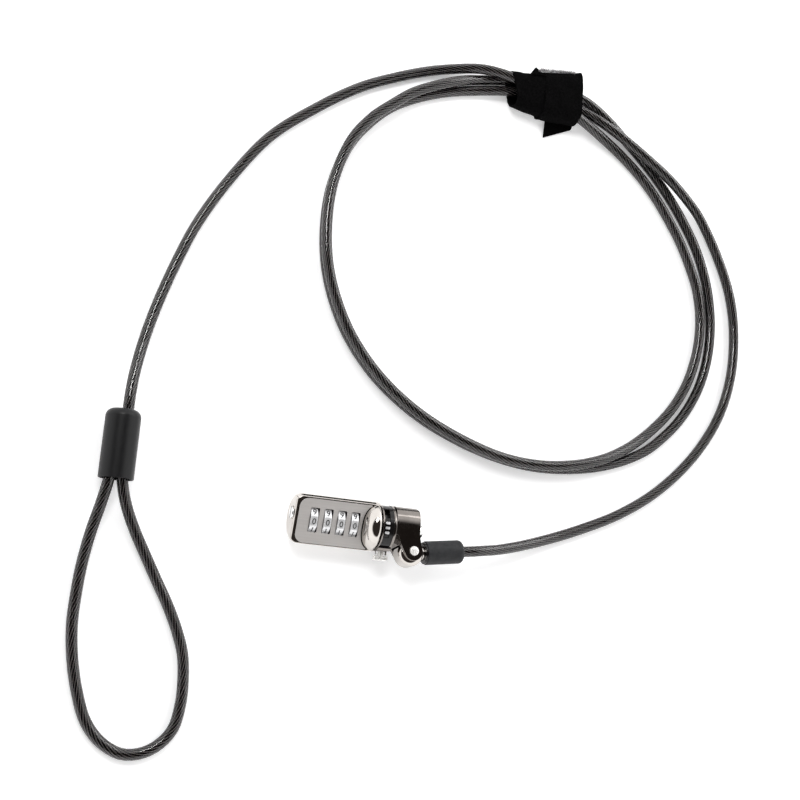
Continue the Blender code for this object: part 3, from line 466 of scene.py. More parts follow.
def vary_roughness(look, source, low, high, start=0.3, end=0.7):
    nodes, links = look.node_tree.nodes, look.node_tree.links
    span = nodes.new("ShaderNodeMapRange")
    span.inputs["From Min"].default_value = start
    span.inputs["From Max"].default_value = end
    span.inputs["To Min"].default_value = low
    span.inputs["To Max"].default_value = high
    links.new(source, span.inputs["Value"])
    links.new(span.outputs["Result"], nodes["Principled BSDF"].inputs["Roughness"])


def vary_colour(look, source, dark, light, start=0.3, end=0.7):
    nodes, links = look.node_tree.nodes, look.node_tree.links
    ramp = nodes.new("ShaderNodeValToRGB")
    ramp.color_ramp.elements[0].position = start
    ramp.color_ramp.elements[1].position = end
    ramp.color_ramp.elements[0].color = (*dark, 1)
    ramp.color_ramp.elements[1].color = (*light, 1)
    links.new(source, ramp.inputs["Fac"])
    links.new(ramp.outputs["Color"], nodes["Principled BSDF"].inputs["Base Color"])


def add_bump(look, source, height, strength=1.0):
    nodes, links = look.node_tree.nodes, look.node_tree.links
    bump = nodes.new("ShaderNodeBump")
    bump.inputs["Strength"].default_value = strength
    bump.inputs["Distance"].default_value = height
    links.new(source, bump.inputs["Height"])
    before = nodes["Principled BSDF"].inputs["Normal"].links
    if before:
        links.new(before[0].from_socket, bump.inputs["Normal"])
    links.new(bump.outputs["Normal"], nodes["Principled BSDF"].inputs["Normal"])


def black_nickel():
    look = new_material("black_nickel_plate", (0.55, 0.52, 0.49), 1.0, 0.06)[0]
    vary_colour(look, add_noise(look, 160), (0.50, 0.47, 0.44), (0.58, 0.55, 0.52))
    vary_roughness(look, add_noise(look, 900), 0.035, 0.09)
    add_bump(look, add_noise(look, 700), 0.000004)
    return look


def dark_nickel():
    look = new_material("dark_nickel_plate", (0.22, 0.20, 0.19), 1.0, 0.1)[0]
    vary_colour(look, add_noise(look, 160), (0.19, 0.172, 0.16), (0.25, 0.23, 0.215))
    vary_roughness(look, add_noise(look, 900), 0.05, 0.13)
    add_bump(look, add_noise(look, 700), 0.000005)
    return look


def satin_grey():
    look = new_material("satin_face", (0.5, 0.48, 0.465), 0.5, 0.4)[0]
    vary_colour(look, add_noise(look, 300, (0.15, 6, 6)), (0.49, 0.467, 0.452), (0.55, 0.527, 0.508))
    vary_roughness(look, add_noise(look, 500, (0.2, 8, 8)), 0.34, 0.44)
    add_bump(look, add_noise(look, 900, (0.08, 8, 8)), 0.000005)
    return look


def bright_steel():
    look = new_material("bright_steel_turned", (0.80, 0.80, 0.79), 1.0, 0.16)[0]
    vary_colour(look, add_noise(look, 250), (0.72, 0.72, 0.71), (0.85, 0.85, 0.84))
    vary_roughness(look, add_noise(look, 1200, (6, 1, 1)), 0.10, 0.24)
    add_bump(look, add_noise(look, 900, (6, 0.4, 0.4)), 0.0000015)
    return look


# A lighter, glossier metal than the satin face, for the dial face's bevelled edges: a painted highlight.
def polished_edge():
    look = new_material("polished_edge_metal", (0.78, 0.77, 0.76), 1.0, 0.12)[0]
    vary_roughness(look, add_noise(look, 900), 0.08, 0.18)
    add_bump(look, add_noise(look, 1500), 0.000005)
    return look


def wheel_silver():
    """The pale silver coat of the wheels. On the slider's ribs its lightness against the black slider is a painted
    highlight.
    """
    look = new_material("wheel_silver_coat", (0.72, 0.72, 0.73), 0.55, 0.32)[0]
    vary_colour(look, add_noise(look, 500), (0.64, 0.64, 0.65), (0.78, 0.78, 0.79))
    vary_roughness(look, add_noise(look, 1800), 0.24, 0.4)
    add_bump(look, add_noise(look, 2500, (0.3, 1, 1)), 0.00001)
    return look


def cast_silver():
    look = new_material("cast_silver_metal", (0.68, 0.67, 0.66), 0.4, 0.34)[0]
    vary_colour(look, add_noise(look, 600), (0.72, 0.71, 0.68), (0.86, 0.85, 0.83))
    vary_roughness(look, add_noise(look, 1500), 0.18, 0.36)
    add_bump(look, add_noise(look, 700), 0.000002)
    return look


def black_gloss():
    look, _, _, bsdf = new_material("black_gloss_lacquer", (0.006, 0.0055, 0.0055), 0.0, 0.12)
    vary_roughness(look, add_noise(look, 900), 0.07, 0.16)
    add_bump(look, add_noise(look, 700), 0.000003)
    bsdf.inputs["Specular IOR Level"].default_value = 0.3
    return look


def spring_steel():
    look = new_material("spring_wire", (0.45, 0.45, 0.46), 1.0, 0.3)[0]
    vary_roughness(look, add_noise(look, 1500), 0.22, 0.4)
    add_bump(look, add_noise(look, 3000), 0.00001)
    return look


def brass():
    look = new_material("turned_brass", (0.62, 0.45, 0.2), 1.0, 0.25)[0]
    vary_colour(look, add_noise(look, 400), (0.55, 0.39, 0.17), (0.68, 0.50, 0.24))
    vary_roughness(look, add_noise(look, 1500, (8, 1, 1)), 0.18, 0.34)
    return look


def boot_rubber():
    look, _, _, bsdf = new_material("boot_rubber", (0.014, 0.0145, 0.016), 0.0, 0.6)
    vary_colour(look, add_noise(look, 500, detail=8), (0.010, 0.0105, 0.012), (0.019, 0.0195, 0.021))
    vary_roughness(look, add_noise(look, 2500, detail=8), 0.5, 0.72)
    add_bump(look, add_noise(look, 4000, detail=8), 0.00003)
    bsdf.inputs["Specular IOR Level"].default_value = 0.3
    return look


def sleeve_plastic():
    look, _, _, bsdf = new_material("crimp_sleeve_plastic", (0.0025, 0.0025, 0.003), 0.0, 0.4)
    vary_roughness(look, add_noise(look, 1800, detail=8), 0.3, 0.5)
    add_bump(look, add_noise(look, 3500, detail=8), 0.00002)
    bsdf.inputs["Specular IOR Level"].default_value = 0.25
    return look


def smoked_vinyl():
    look, _, _, bsdf = new_material("smoked_clear_vinyl", (0.58, 0.555, 0.55), 0.0, 0.07)
    bsdf.inputs["Transmission Weight"].default_value = 1.0
    bsdf.inputs["IOR"].default_value = 1.5
    vary_roughness(look, add_noise(look, 400), 0.04, 0.09)
    add_bump(look, add_noise(look, 200), 0.00001)
    return look


def rope_steel():
    """Dull steel strands, black in the grooves between them and lighter on their crowns as painted shade. The
    wires in a strand slant the other way from the strands.
    """
    look, nodes, links, _ = new_material("rope_steel", (0.20, 0.195, 0.19), 1.0, 0.35)
    place = nodes.new("ShaderNodeUVMap")
    strands = nodes.new("ShaderNodeTexWave")
    strands.bands_direction = "X"
    strands.inputs["Scale"].default_value = pi / 10  # one wave per strand
    strands.inputs["Distortion"].default_value = 0.0
    wires = nodes.new("ShaderNodeTexWave")
    wires.bands_direction = "DIAGONAL"
    wires.inputs["Scale"].default_value = 1.1
    wires.inputs["Distortion"].default_value = 0.6
    links.new(place.outputs["UV"], strands.inputs["Vector"])
    links.new(place.outputs["UV"], wires.inputs["Vector"])
    # Painted shade: black in the grooves between strands, lighter on the strand crowns.
    vary_colour(look, strands.outputs["Fac"], (0.001, 0.001, 0.001), (0.27, 0.255, 0.25), 0.3, 0.95)
    vary_roughness(look, add_noise(look, 900), 0.3, 0.5)
    add_bump(look, wires.outputs["Fac"], 0.0001)
    return look


def hook_and_loop():
    look, nodes, links, bsdf = new_material("hook_and_loop_cloth", (0.002, 0.002, 0.002), 0.0, 0.95)
    vary_colour(look, add_noise(look, 1200, detail=8), (0.001, 0.001, 0.001), (0.004, 0.0037, 0.004))
    weave = nodes.new("ShaderNodeTexVoronoi")
    place = nodes.new("ShaderNodeTexCoord")
    weave.inputs["Scale"].default_value = 1100
    links.new(place.outputs["Object"], weave.inputs["Vector"])
    add_bump(look, weave.outputs["Distance"], 0.00025)
    add_bump(look, add_noise(look, 3000, detail=8), 0.0002)
    bsdf.inputs["Specular IOR Level"].default_value = 0.02
    return look


def loop_pile():
    look = new_material("loop_pile_fibre", (0.2, 0.19, 0.2), 0.0, 0.8)[0]
    vary_colour(look, add_noise(look, 800), (0.10, 0.095, 0.10), (0.32, 0.31, 0.32))
    return look


def number_ink():
    look = new_material("number_ink", (0.03, 0.03, 0.032), 0.0, 0.5)[0]
    vary_colour(look, add_noise(look, 1500), (0.02, 0.02, 0.022), (0.05, 0.05, 0.053))
    return look


# ---- Cable ----

def smooth_route(route, step):
    """Evenly spaced points, about a step apart, on a smooth curve through the route's points."""
    knots = [Vector(p) * MM for p in route]
    fine = []
    for i in range(len(knots) - 1):
        before = knots[max(i - 1, 0)]
        after = knots[min(i + 2, len(knots) - 1)]
        start, end = knots[i], knots[i + 1]
        reach = (end - start).length / 3
        leave = (end - before).normalized() * reach
        arrive = (after - start).normalized() * reach
        fine += interpolate_bezier(start, start + leave, end - arrive, end, 33)[:-1]
    fine.append(knots[-1])
    travelled = [0.0]
    for a, b in zip(fine, fine[1:]):
        travelled.append(travelled[-1] + (b - a).length)
    count = ceil(travelled[-1] / step)
    points, j = [], 0
    for i in range(count + 1):
        goal = travelled[-1] * i / count
        while j < len(fine) - 2 and travelled[j + 1] < goal:
            j += 1
        share = (goal - travelled[j]) / (travelled[j + 1] - travelled[j])
        points.append(fine[j].lerp(fine[j + 1], min(max(share, 0.0), 1.0)))
    return points


def carried_frames(points):
    """(across, over) at each point: two directions square to the line that turn as little as they can."""
    over = Vector((0, 0, 1))
    frames = []
    for i in range(len(points)):
        along = (points[min(i + 1, len(points) - 1)] - points[max(i - 1, 0)]).normalized()
        over = (over - along * over.dot(along)).normalized()
        frames.append((along.cross(over), over))
    return frames


def sweep(name, points, section, twist=0.0):
    """A closed tube along the points. Twist is in radians from one point to the next."""
    form = bmesh.new()
    layer = form.loops.layers.uv.new("rope")
    rings = []
    for i, (point, (across, over)) in enumerate(zip(points, carried_frames(points))):
        turn_cos, turn_sin = cos(twist * i), sin(twist * i)
        ring = []
        for a, b in section:
            side, up = a * turn_cos - b * turn_sin, a * turn_sin + b * turn_cos
            ring.append(form.verts.new(point + across * side + over * up))
        rings.append(ring)
    count = len(section)
    for i, (first, second) in enumerate(zip(rings, rings[1:])):
        for k in range(count):
            m = (k + 1) % count
            face = form.faces.new((first[k], first[m], second[m], second[k]))
            for loop, (u, v) in zip(face.loops, ((k, i), (k + 1, i), (k + 1, i + 1), (k, i + 1))):
                loop[layer].uv = (u / STRAND_POINTS + 0.5, v)
    form.faces.new(rings[0])
    form.faces.new(rings[-1])
    return to_object(name, form)


def rope_section():
    """The outline of a rope whose strands touch each other round its core."""
    strand = ROPE_RADIUS * sin(pi / ROPE_STRANDS) / (1 + sin(pi / ROPE_STRANDS))
    ring = ROPE_RADIUS - strand
    outline = []
    for i in range(ROPE_STRANDS * STRAND_POINTS):
        angle = 2 * pi * i / (ROPE_STRANDS * STRAND_POINTS)
        off = (angle + pi / ROPE_STRANDS) % (2 * pi / ROPE_STRANDS) - pi / ROPE_STRANDS
        reach = ring * cos(off) + sqrt(max(strand ** 2 - (ring * sin(off)) ** 2, 0))
        outline.append((reach * cos(angle), reach * sin(angle)))
    return outline


def make_cable():
    start = tuple((LUG @ Vector((CABLE_START, 0, 0))) / MM)
    route = [start, *RUN_ROUTE, *CRIMP_ROUTE, *LOOP_ROUTE, *TAIL_ROUTE]
    line = smooth_route(route, JACKET_STEP)
    jacket = sweep("cable_jacket", line, arc((0, 0), CABLE_RADIUS, 0, 2 * pi, 20)[:-1])
    show(jacket, LOOKS["smoked_vinyl"], "cable", "smoked_vinyl", "cable_run", "cable_loop", sharp=60)
    fine = smooth_route(route, ROPE_STEP)[1:-1]
    twist = -2 * pi * ROPE_STEP / ROPE_LAY
    rope = sweep("cable_rope", fine, rope_section(), twist)
    show(rope, LOOKS["rope_steel"], "cable", "smoked_vinyl", sharp=80)
    return jacket, rope, line


# ---- Crimped end ----

def make_crimp():
    half, wall = CRIMP_HALF, CRIMP_HALF - CRIMP_SHOULDER
    profile = [(half, 0)] + arc((wall, CRIMP_RADIUS - CRIMP_SHOULDER), CRIMP_SHOULDER, 0, pi / 2, 14)
    profile += soften([(wall - 1 * MM, CRIMP_RADIUS), (-half, CRIMP_RADIUS), (-half, CRIMP_BORE),
                       (wall, CRIMP_BORE)], 0.35 * MM, False)
    profile += [(wall, 0)]
    cover = lathe("crimp_sleeve", CRIMP, profile, 96)
    hole = CABLE_RADIUS + 0.1 * MM
    entry = Matrix.Translation((CRIMP_ENTRY, 0, 0)) @ CRIMP
    carve(cover, rod("cable_entry", entry, 5 * MM, 20 * MM, hole))
    show(cover, LOOKS["sleeve_plastic"], "cable", "rubber", "crimp_cover")
    outer = arc((STRAND_OFFSET, 0), 3.1 * MM, -pi / 2, pi / 2)
    outer += arc((-STRAND_OFFSET, 0), 3.1 * MM, pi / 2, 1.5 * pi)
    ferrule = prism("swaged_ferrule", CRIMP @ ACROSS_X, outer, -9.5 * MM, -1.9 * MM, 0.3 * MM)
    show(ferrule, LOOKS["bright_steel"], "cable", "bright_steel", "crimp_ferrule")
    return cover, ferrule


# ---- Cable tie ----

def around(corners, count):
    """Evenly spaced points on a closed outline with rounded corners, starting from its first corner."""
    outline = soften(corners, STRAP_ROUND, True, 6)
    outline.append(outline[0])
    lengths = [(Vector(q) - Vector(p)).length for p, q in zip(outline, outline[1:])]
    points = []
    for i in range(count):
        goal, j = sum(lengths) * i / count, 0
        while goal > lengths[j]:
            goal -= lengths[j]
            j += 1
        points.append(Vector(outline[j]).lerp(Vector(outline[j + 1]), goal / lengths[j]))
    return points


def band(name, start, end, x0, x1, lean, seed):
    """One turn of the strap. Start and end are (lowest y, highest y, height) at its two sides."""
    near, far = (around([(low, 0.8), (high, 0.8), (high, top), (low, top)], STRAP_POINTS)
                 for low, high, top in (start, end))
    form = bmesh.new()
    rows = []
    for first, last in zip(near, far):
        row = []
        for k in range(STRAP_ROWS + 1):
            share = k / STRAP_ROWS
            y, z = first.lerp(last, share)
            x = x0 + (x1 - x0) * share + lean * y / 20
            grow = 1 + 0.06 * noise.noise(Vector((x * 0.18 + seed, y * 0.18, z * 0.18)))
            x += 0.25 * noise.noise(Vector((y * 0.6 + seed, z * 0.6, share * 2)))
            lift = max(z, 0.75) if z < 2 else z * grow
            row.append(form.verts.new(Vector((x, y * grow, lift)) * MM))
        rows.append(row)
    for first, second in zip(rows, rows[1:] + rows[:1]):
        for k in range(STRAP_ROWS):
            form.faces.new((first[k], first[k + 1], second[k + 1], second[k]))
    piece = to_object(name, form, TIE)
    thicken = piece.modifiers.new("thicken", "SOLIDIFY")
    thicken.thickness = STRAP_THICKNESS
    thicken.offset = 0
    return settle(piece)


def pile(name, start, end, count, seed):
    """Short fibres that stand up along an edge of the strap, from start to end in the tie's frame."""
    chance = random.Random(seed)
    form = bmesh.new()
    for _ in range(count):
        share = chance.random()
        foot = Vector(start).lerp(Vector(end), share)
        foot += Vector((chance.uniform(-0.3, 0.3), chance.uniform(-0.9, 0.3), chance.uniform(-0.9, 0.3)))
        lean = Vector((chance.uniform(-0.7, 0.7), 1.0, chance.uniform(-0.3, 0.8))).normalized()
        tip = foot + lean * chance.uniform(0.6, 1.9) * (1.15 - 0.6 * share)
        side = lean.cross(Vector((0, 0, 1))).normalized() * PILE_WIDTH
        over = lean.cross(side).normalized() * PILE_WIDTH
        base = [form.verts.new(p * MM) for p in (foot + side, foot + over, foot - side - over)]
        top = form.verts.new(tip * MM)
        form.faces.new(base)
        for k in range(3):
            form.faces.new((base[k], base[(k + 1) % 3], top))
    return to_object(name, form, TIE)


def flap(name, corners, low, high):
    outline = soften([(x * MM, y * MM) for x, y in corners], 0.5 * MM)
    return prism(name, TIE, outline, low * MM, high * MM, 0.2 * MM)


def make_tie():
    left = band("strap_first_turn", (-6.6, 9.4, 12.2), (-11.0, 10.2, 12.9), -18.6, -0.6, -3.6, 3.1)
    right = band("strap_second_turn", (-11.2, 11.2, 13.6), (-11.6, 14.3, 13.2), -3.4, 17.4, 0.9, 7.7)
    corner = flap("strap_corner", [(-11.4, 8.2), (-8.3, 12.3), (-2.4, 8.2)], 12.2, 13.2)
    tail = flap("strap_tail", [(18.6, -9.0), (17.2, -12.8), (1.4, -18.9), (2.7, -9.0)], 0.2, 1.3)
    for piece in (left, right, corner, tail):
        show(piece, LOOKS["hook_and_loop"], "cable", "hook_and_loop", "cable_tie")
    fuzz = pile("strap_pile", (-6.6, 10.6, 13.4), (14.2, 13.1, 12.6), 1500, 5)
    show(fuzz, LOOKS["loop_pile"], "cable", "hook_and_loop")
    return left, right, corner, tail, fuzz


# ---- Head ----

def clipped_circle(radius, flat):
    """A circle cut off at a height, with the two corners rounded, as (y, z) points."""
    tuck = radius - RIM_ROUND
    side = sqrt(tuck ** 2 - (flat - RIM_ROUND) ** 2)
    corner = atan2(flat - RIM_ROUND, side)
    right = arc((side, flat - RIM_ROUND), RIM_ROUND, pi / 2, corner, 5)
    below = arc((0, 0), radius, corner, -pi - corner, 96)
    left = [(-y, z) for y, z in reversed(right)]
    return right + below[1:-1] + left


def make_barrel():
    """Rings along X. The closed end rounds off, and so does the flat's own end."""
    stations = [END_ROUND * (1 - cos(pi / 2 * i / 14)) for i in range(15)]
    stations += [END_ROUND + (BARREL_LENGTH - END_ROUND) * i / 12 for i in range(1, 13)]
    stations += [BARREL_LENGTH - FRONT_ROUND * (1 - i / 5) for i in range(5)]
    form = bmesh.new()
    rings = []
    for x in sorted(set(stations)):
        sink = max(END_ROUND - x, 0)
        radius = BARREL_RADIUS - END_ROUND + sqrt(END_ROUND ** 2 - sink ** 2)
        lead = max(x - BARREL_LENGTH + FRONT_ROUND, 0)
        radius -= FRONT_ROUND - sqrt(max(FRONT_ROUND ** 2 - lead ** 2, 0))
        dip = max(FLAT_ROUND - x, 0)
        flat = RIM_HEIGHT - FLAT_ROUND + sqrt(FLAT_ROUND ** 2 - dip ** 2)
        rings.append([form.verts.new((x, y, z)) for y, z in clipped_circle(radius, flat)])
    for first, second in zip(rings, rings[1:]):
        for k in range(len(first)):
            m = (k + 1) % len(first)
            form.faces.new((first[k], first[m], second[m], second[k]))
    form.faces.new(rings[0])
    form.faces.new(rings[-1])
    barrel = to_object("barrel", form, DIALS)
    join(barrel, lathe("dome", DIALS, [*dome_profile(), (DOME_END, 0)], 128))
    start, end, foot = END_LINE
    carve(barrel,
          prism("plate_bed", DIALS, plate_outline(GROOVE), PLATE_BED, 9 * MM),
          rod("cavity", DIALS, *CAVITY, CAVITY_RADIUS, 64),
          box("ledge_left", DIALS, (-1 * MM, LEDGE[0], LEDGE[1]), (37 * MM, 12 * MM, 6 * MM)),
          box("ledge_right", DIALS, (-1 * MM, -12 * MM, LEDGE[1]), (37 * MM, -LEDGE[0], 6 * MM)),
          lathe("end_line", DIALS, [(start, foot), (start, 13 * MM), (end, 13 * MM), (end, foot)], 128,
                closed=True),
          lathe("reset_seat", RESET, [(-2 * MM, 0), (-2 * MM, 2.95 * MM), (0.35 * MM, 2.95 * MM),
                                      (0.35 * MM, 1.2 * MM), (4.2 * MM, 1.2 * MM), (4.2 * MM, 0)], 48),
          rod("post_seat", DIALS, 36 * MM, 41 * MM, POST_BORE))
    show(barrel, LOOKS["black_nickel"], "head", "black_nickel", "lock_body", sharp=50)


def dome_profile():
    return [(point.x, point.y) for point in smooth_route(DOME_ROUTE, DOME_STEP)]


def dome_edge(y, z):
    """Where along the head the dome reaches a point at this distance off its axis."""
    reach = sqrt(y ** 2 + z ** 2)
    profile = dome_profile()
    for (x0, r0), (x1, r1) in zip(profile, profile[1:]):
        if r0 <= reach <= r1:
            return x0 + (x1 - x0) * (reach - r0) / (r1 - r0)
    return max(profile, key=lambda point: point[1])[0]


def plate_outline(grow=0.0):
    """The dial face seen from above. Its far end is hollowed where the dome comes up through it."""
    half, left = PLATE_HALF_WIDTH + grow, PLATE_START - grow
    corner = PLATE_CORNER + grow
    widest = half - 0.35 * MM
    steps = [widest * (1 - 2 * i / 32) for i in range(33)]
    hollow = [(dome_edge(y, (PLATE[0] + PLATE[1]) / 2) - 0.25 * MM + grow, y) for y in steps]
    outline = arc((left + corner, half - corner), corner, pi / 2, pi, 12)
    outline += arc((left + corner, corner - half), corner, pi, 1.5 * pi, 12)
    tip = hollow[0][0] - 0.6 * MM
    return outline + [(tip, -half)] + list(reversed(hollow)) + [(tip, half)]


def make_plate():
    plate = prism("dial_face", DIALS, plate_outline(), *PLATE)
    for i in range(4):
        middle = dial_frame(i).translation
        x = (DIALS.inverted() @ middle).x
        half_x, half_y = WINDOW[0] / 2, WINDOW[1] / 2
        outline = soften([(x - half_x, WINDOW_SHIFT - half_y), (x + half_x, WINDOW_SHIFT - half_y),
                          (x + half_x, WINDOW_SHIFT + half_y), (x - half_x, WINDOW_SHIFT + half_y)], 0.5 * MM)
        carve(plate, prism(f"window_{i + 1}", DIALS, outline, 0, 6 * MM))
    ease(plate, PLATE_BEVEL, 60)
    show(plate, LOOKS["satin_grey"], "head", "satin_grey", "dial_plate")
    # Faces that don't face up, the bevels and the walls, take the lighter edge metal: a painted highlight along
    # the edges.
    plate.data.materials.append(LOOKS["polished_edge"])
    upward = DIALS.to_3x3() @ Vector((0, 0, 1))
    for face in plate.data.polygons:
        face.material_index = int(face.normal.dot(upward) < 0.97)


def dial_frame(i):
    where = DIALS.inverted() @ Vector(JOINTS[f"dial_{i + 1}_turn"]["pos_m"])
    return DIALS @ Matrix.Translation(where)


def make_dials():
    """Ten-sided wheels with a dark number on each flat."""
    step = 2 * pi / DIAL_FACES
    corners = [(DIAL_RADIUS * sin(step * (k + 0.5)), DIAL_RADIUS * cos(step * (k + 0.5)))
               for k in range(DIAL_FACES)]
    flat = DIAL_RADIUS * cos(step / 2)
    for i in range(4):
        place = dial_frame(i)
        wheel = prism(f"number_wheel_{i + 1}", place @ ACROSS_X, soften(corners, 0.7 * MM),
                      -DIAL_WIDTH / 2, DIAL_WIDTH / 2, 0.3 * MM)
        carve(wheel, rod(f"bore_{i + 1}", place, -3 * MM, 3 * MM, DIAL_BORE))
        show(wheel, LOOKS["wheel_silver"], f"dial_{i + 1}", "bright_steel", f"dial_wheel_{i + 1}")
        numbers = [digit(k, place @ Matrix.Rotation(step * k, 4, "X") @ Matrix.Translation((0, 0, flat)))
                   for k in range(DIAL_FACES)]
        ink = merge(f"numbers_{i + 1}", numbers)
        show(ink, LOOKS["number_ink"], f"dial_{i + 1}", "bright_steel")


def digit(value, place):
    """A plain digit, a hair proud of its flat."""
    curve = bpy.data.curves.new(f"digit_{value}", "FONT")
    curve.body = str(value)
    curve.size = FONT_SIZE
    curve.align_x, curve.align_y = "CENTER", "CENTER"
    curve.extrude = 0.03 * MM
    curve.offset = 0.05 * MM
    source = bpy.data.objects.new("digit_source", curve)
    bpy.context.scene.collection.objects.link(source)
    bpy.context.view_layer.update()
    mesh = bpy.data.meshes.new_from_object(source.evaluated_get(bpy.context.evaluated_depsgraph_get()))
    bpy.data.objects.remove(source, do_unlink=True)
    mesh.transform(place)
    return mesh


def merge(name, meshes):
    form = bmesh.new()
    for mesh in meshes:
        form.from_mesh(mesh)
    return to_object(name, form)


def make_reset_screw():
    profile = soften([(-1.0 * MM, 0), (-1.0 * MM, 2.7 * MM), (-0.25 * MM, 2.7 * MM), (-0.25 * MM, 0.9 * MM),
                      (3.2 * MM, 0.9 * MM), (3.2 * MM, 0)], 0.25 * MM, False)
    screw = lathe("code_reset_screw", RESET, profile, 64)
    carve(screw, box("screw_slot", RESET, (-2 * MM, -4 * MM, -0.4 * MM), (-0.55 * MM, 4 * MM, 0.4 * MM)))
    show(screw, LOOKS["bright_steel"], "reset", "bright_steel", "reset_screw")


def beside_cleat(offset):
    """A frame whose +X points out along the cleat's stem, moved along the head by the offset."""
    return HEAD @ Matrix.Translation((CLEAT_X + offset, 0, 0)) @ TO_MINUS_Y


def make_collar():
    x0, x1 = COLLAR
    lip, rest = COLLAR_LIP
    low = COLLAR_RADIUS - LIP_RISE
    hole = POST_RADIUS + 0.3 * MM
    profile = [(x0, COLLAR_BORE), (x0, COLLAR_RADIUS), (x0 + lip, COLLAR_RADIUS), (x0 + lip, low),
               (x1 - rest, low), (x1 - rest, COLLAR_RADIUS), (x1, COLLAR_RADIUS), (x1, hole),
               (x1 - 1.0 * MM, hole), (x1 - 1.0 * MM, COLLAR_BORE)]
    collar = lathe("collar", HEAD, soften(profile, 0.16 * MM), 128, closed=True)
    reach, half = PAD
    root, spread = -8.9 * MM, half + 1 * MM
    outline = soften([(-reach, -half), (-reach, half), (root, spread), (root, -spread)], 0.8 * MM)
    join(collar, prism("pad", HEAD @ ACROSS_X, outline, x0 + 0.15 * MM, x1 - 0.15 * MM, 0.3 * MM))
    carve(collar,
          rod("stem_hole", beside_cleat(0), 5 * MM, 12 * MM, STEM_RADIUS + 0.2 * MM, 32),
          box("pad_channel", HEAD, (x0 - 1 * MM, -12 * MM, -CHANNEL[0]),
              (x1 + 1 * MM, CHANNEL[1] - reach, CHANNEL[0])),
          *[rod(f"pin_hole_{side}", beside_cleat(side * PIN_OFFSET), 7 * MM, 12 * MM, PIN_HOLE_RADIUS, 32)
            for side in (-1, 1)],
          ring_block("slider_window", 7.6 * MM, 12 * MM,
                     (SLIDER[0] - 0.3 * MM, SLIDER[1] + 0.3 * MM), SLIDER_WINDOW))
    show(collar, LOOKS["dark_nickel"], "head", "black_nickel", "collar_ring")
    # The middle band between the lips, over the top and sides, is coloured black gloss instead of nickel: a
    # painted dark reflection.
    collar.data.materials.append(LOOKS["black_gloss"])
    back = HEAD.inverted()
    for face in collar.data.polygons:
        x, y, z = back @ face.center
        inside = x0 + lip - 0.05 * MM < x < x1 - rest + 0.05 * MM and y > -reach + 1.2 * MM
        face.material_index = int(inside and abs(atan2(y, z)) < DARK_REFLECTION_REACH)


def ring_block(name, inner, outer, span, angles, edge=0.0, count=16):
    """Part of a ring about the head's axis, between two angles from +Z towards -Y."""
    outline = arc((0, 0), outer, *angles, count) + arc((0, 0), inner, angles[1], angles[0], count)
    return prism(name, HEAD @ ROUND_X, outline, *span, edge)


def make_slider():
    start, end = SLIDER_ARC
    x0, x1 = SLIDER
    slider = ring_block("slider_button", 7.75 * MM, 10.1 * MM, SLIDER, SLIDER_ARC, 0.2 * MM)
    flange = ring_block("slider_flange", 7.0 * MM, 7.95 * MM, (39.9 * MM, 43.6 * MM),
                        (start - FLANGE_REACH, end + 0.05))
    ribs = []
    for i in range(3):
        middle = start + (end - start) * (0.26 + 0.24 * i)
        ribs.append(ring_block(f"rib_{i + 1}", 9.5 * MM, 10.85 * MM, (x0 + 0.15 * MM, x1 - 0.15 * MM),
                               (middle - 0.05, middle + 0.05), 0.25 * MM, 3))
    join(slider, flange)
    show(slider, LOOKS["black_gloss"], "slider", "black_nickel", "thumb_slider")
    # The ribs take the pale silver, lighter than the black slider: painted highlights along their ridges.
    for rib in ribs:
        show(rib, LOOKS["wheel_silver"], "slider", "black_nickel")


def make_cleat():
    place = HEAD @ Matrix.Translation((CLEAT_X, 0, 0))
    length, thick, depth = CLEAT
    low = CLEAT_FACE - thick
    stem = rod("locking_cleat", beside_cleat(0), 4.9 * MM, low + 0.6 * MM, STEM_RADIUS)
    outline = soften([(-length / 2, -low), (-length / 2, -CLEAT_FACE),
                      (length / 2, -CLEAT_FACE), (length / 2, -low)], CLEAT_ROUND)
    bar = prism("cleat_bar", place, outline, -depth / 2, depth / 2, 0.7 * MM)
    join(stem, bar)
    show(stem, LOOKS["cast_silver"], "tbar", "bright_steel", "tbar_cleat")


def make_post():
    x0, x1 = CAP
    near, far, rim = POST_FLANGE
    profile = [(36.3 * MM, 0), (36.3 * MM, POST_RADIUS), (near, POST_RADIUS), (near, rim),
               (far, rim), (far, POST_RADIUS), (x0, POST_RADIUS)]
    start, end, depth = CAP_GROOVE
    edge = soften([(x0, POST_RADIUS), (x0, CAP_RADIUS), (x0 + start, CAP_RADIUS),
                   (x0 + start, CAP_RADIUS - depth), (x0 + end, CAP_RADIUS - depth),
                   (x0 + end, CAP_RADIUS), (x1, CAP_RADIUS - 0.5 * MM), (x1, 0)], 0.5 * MM, False)
    post = lathe("post_and_cap", HEAD, profile + edge[1:], 64)
    show(post, LOOKS["bright_steel"], "head", "bright_steel", "swivel_post")


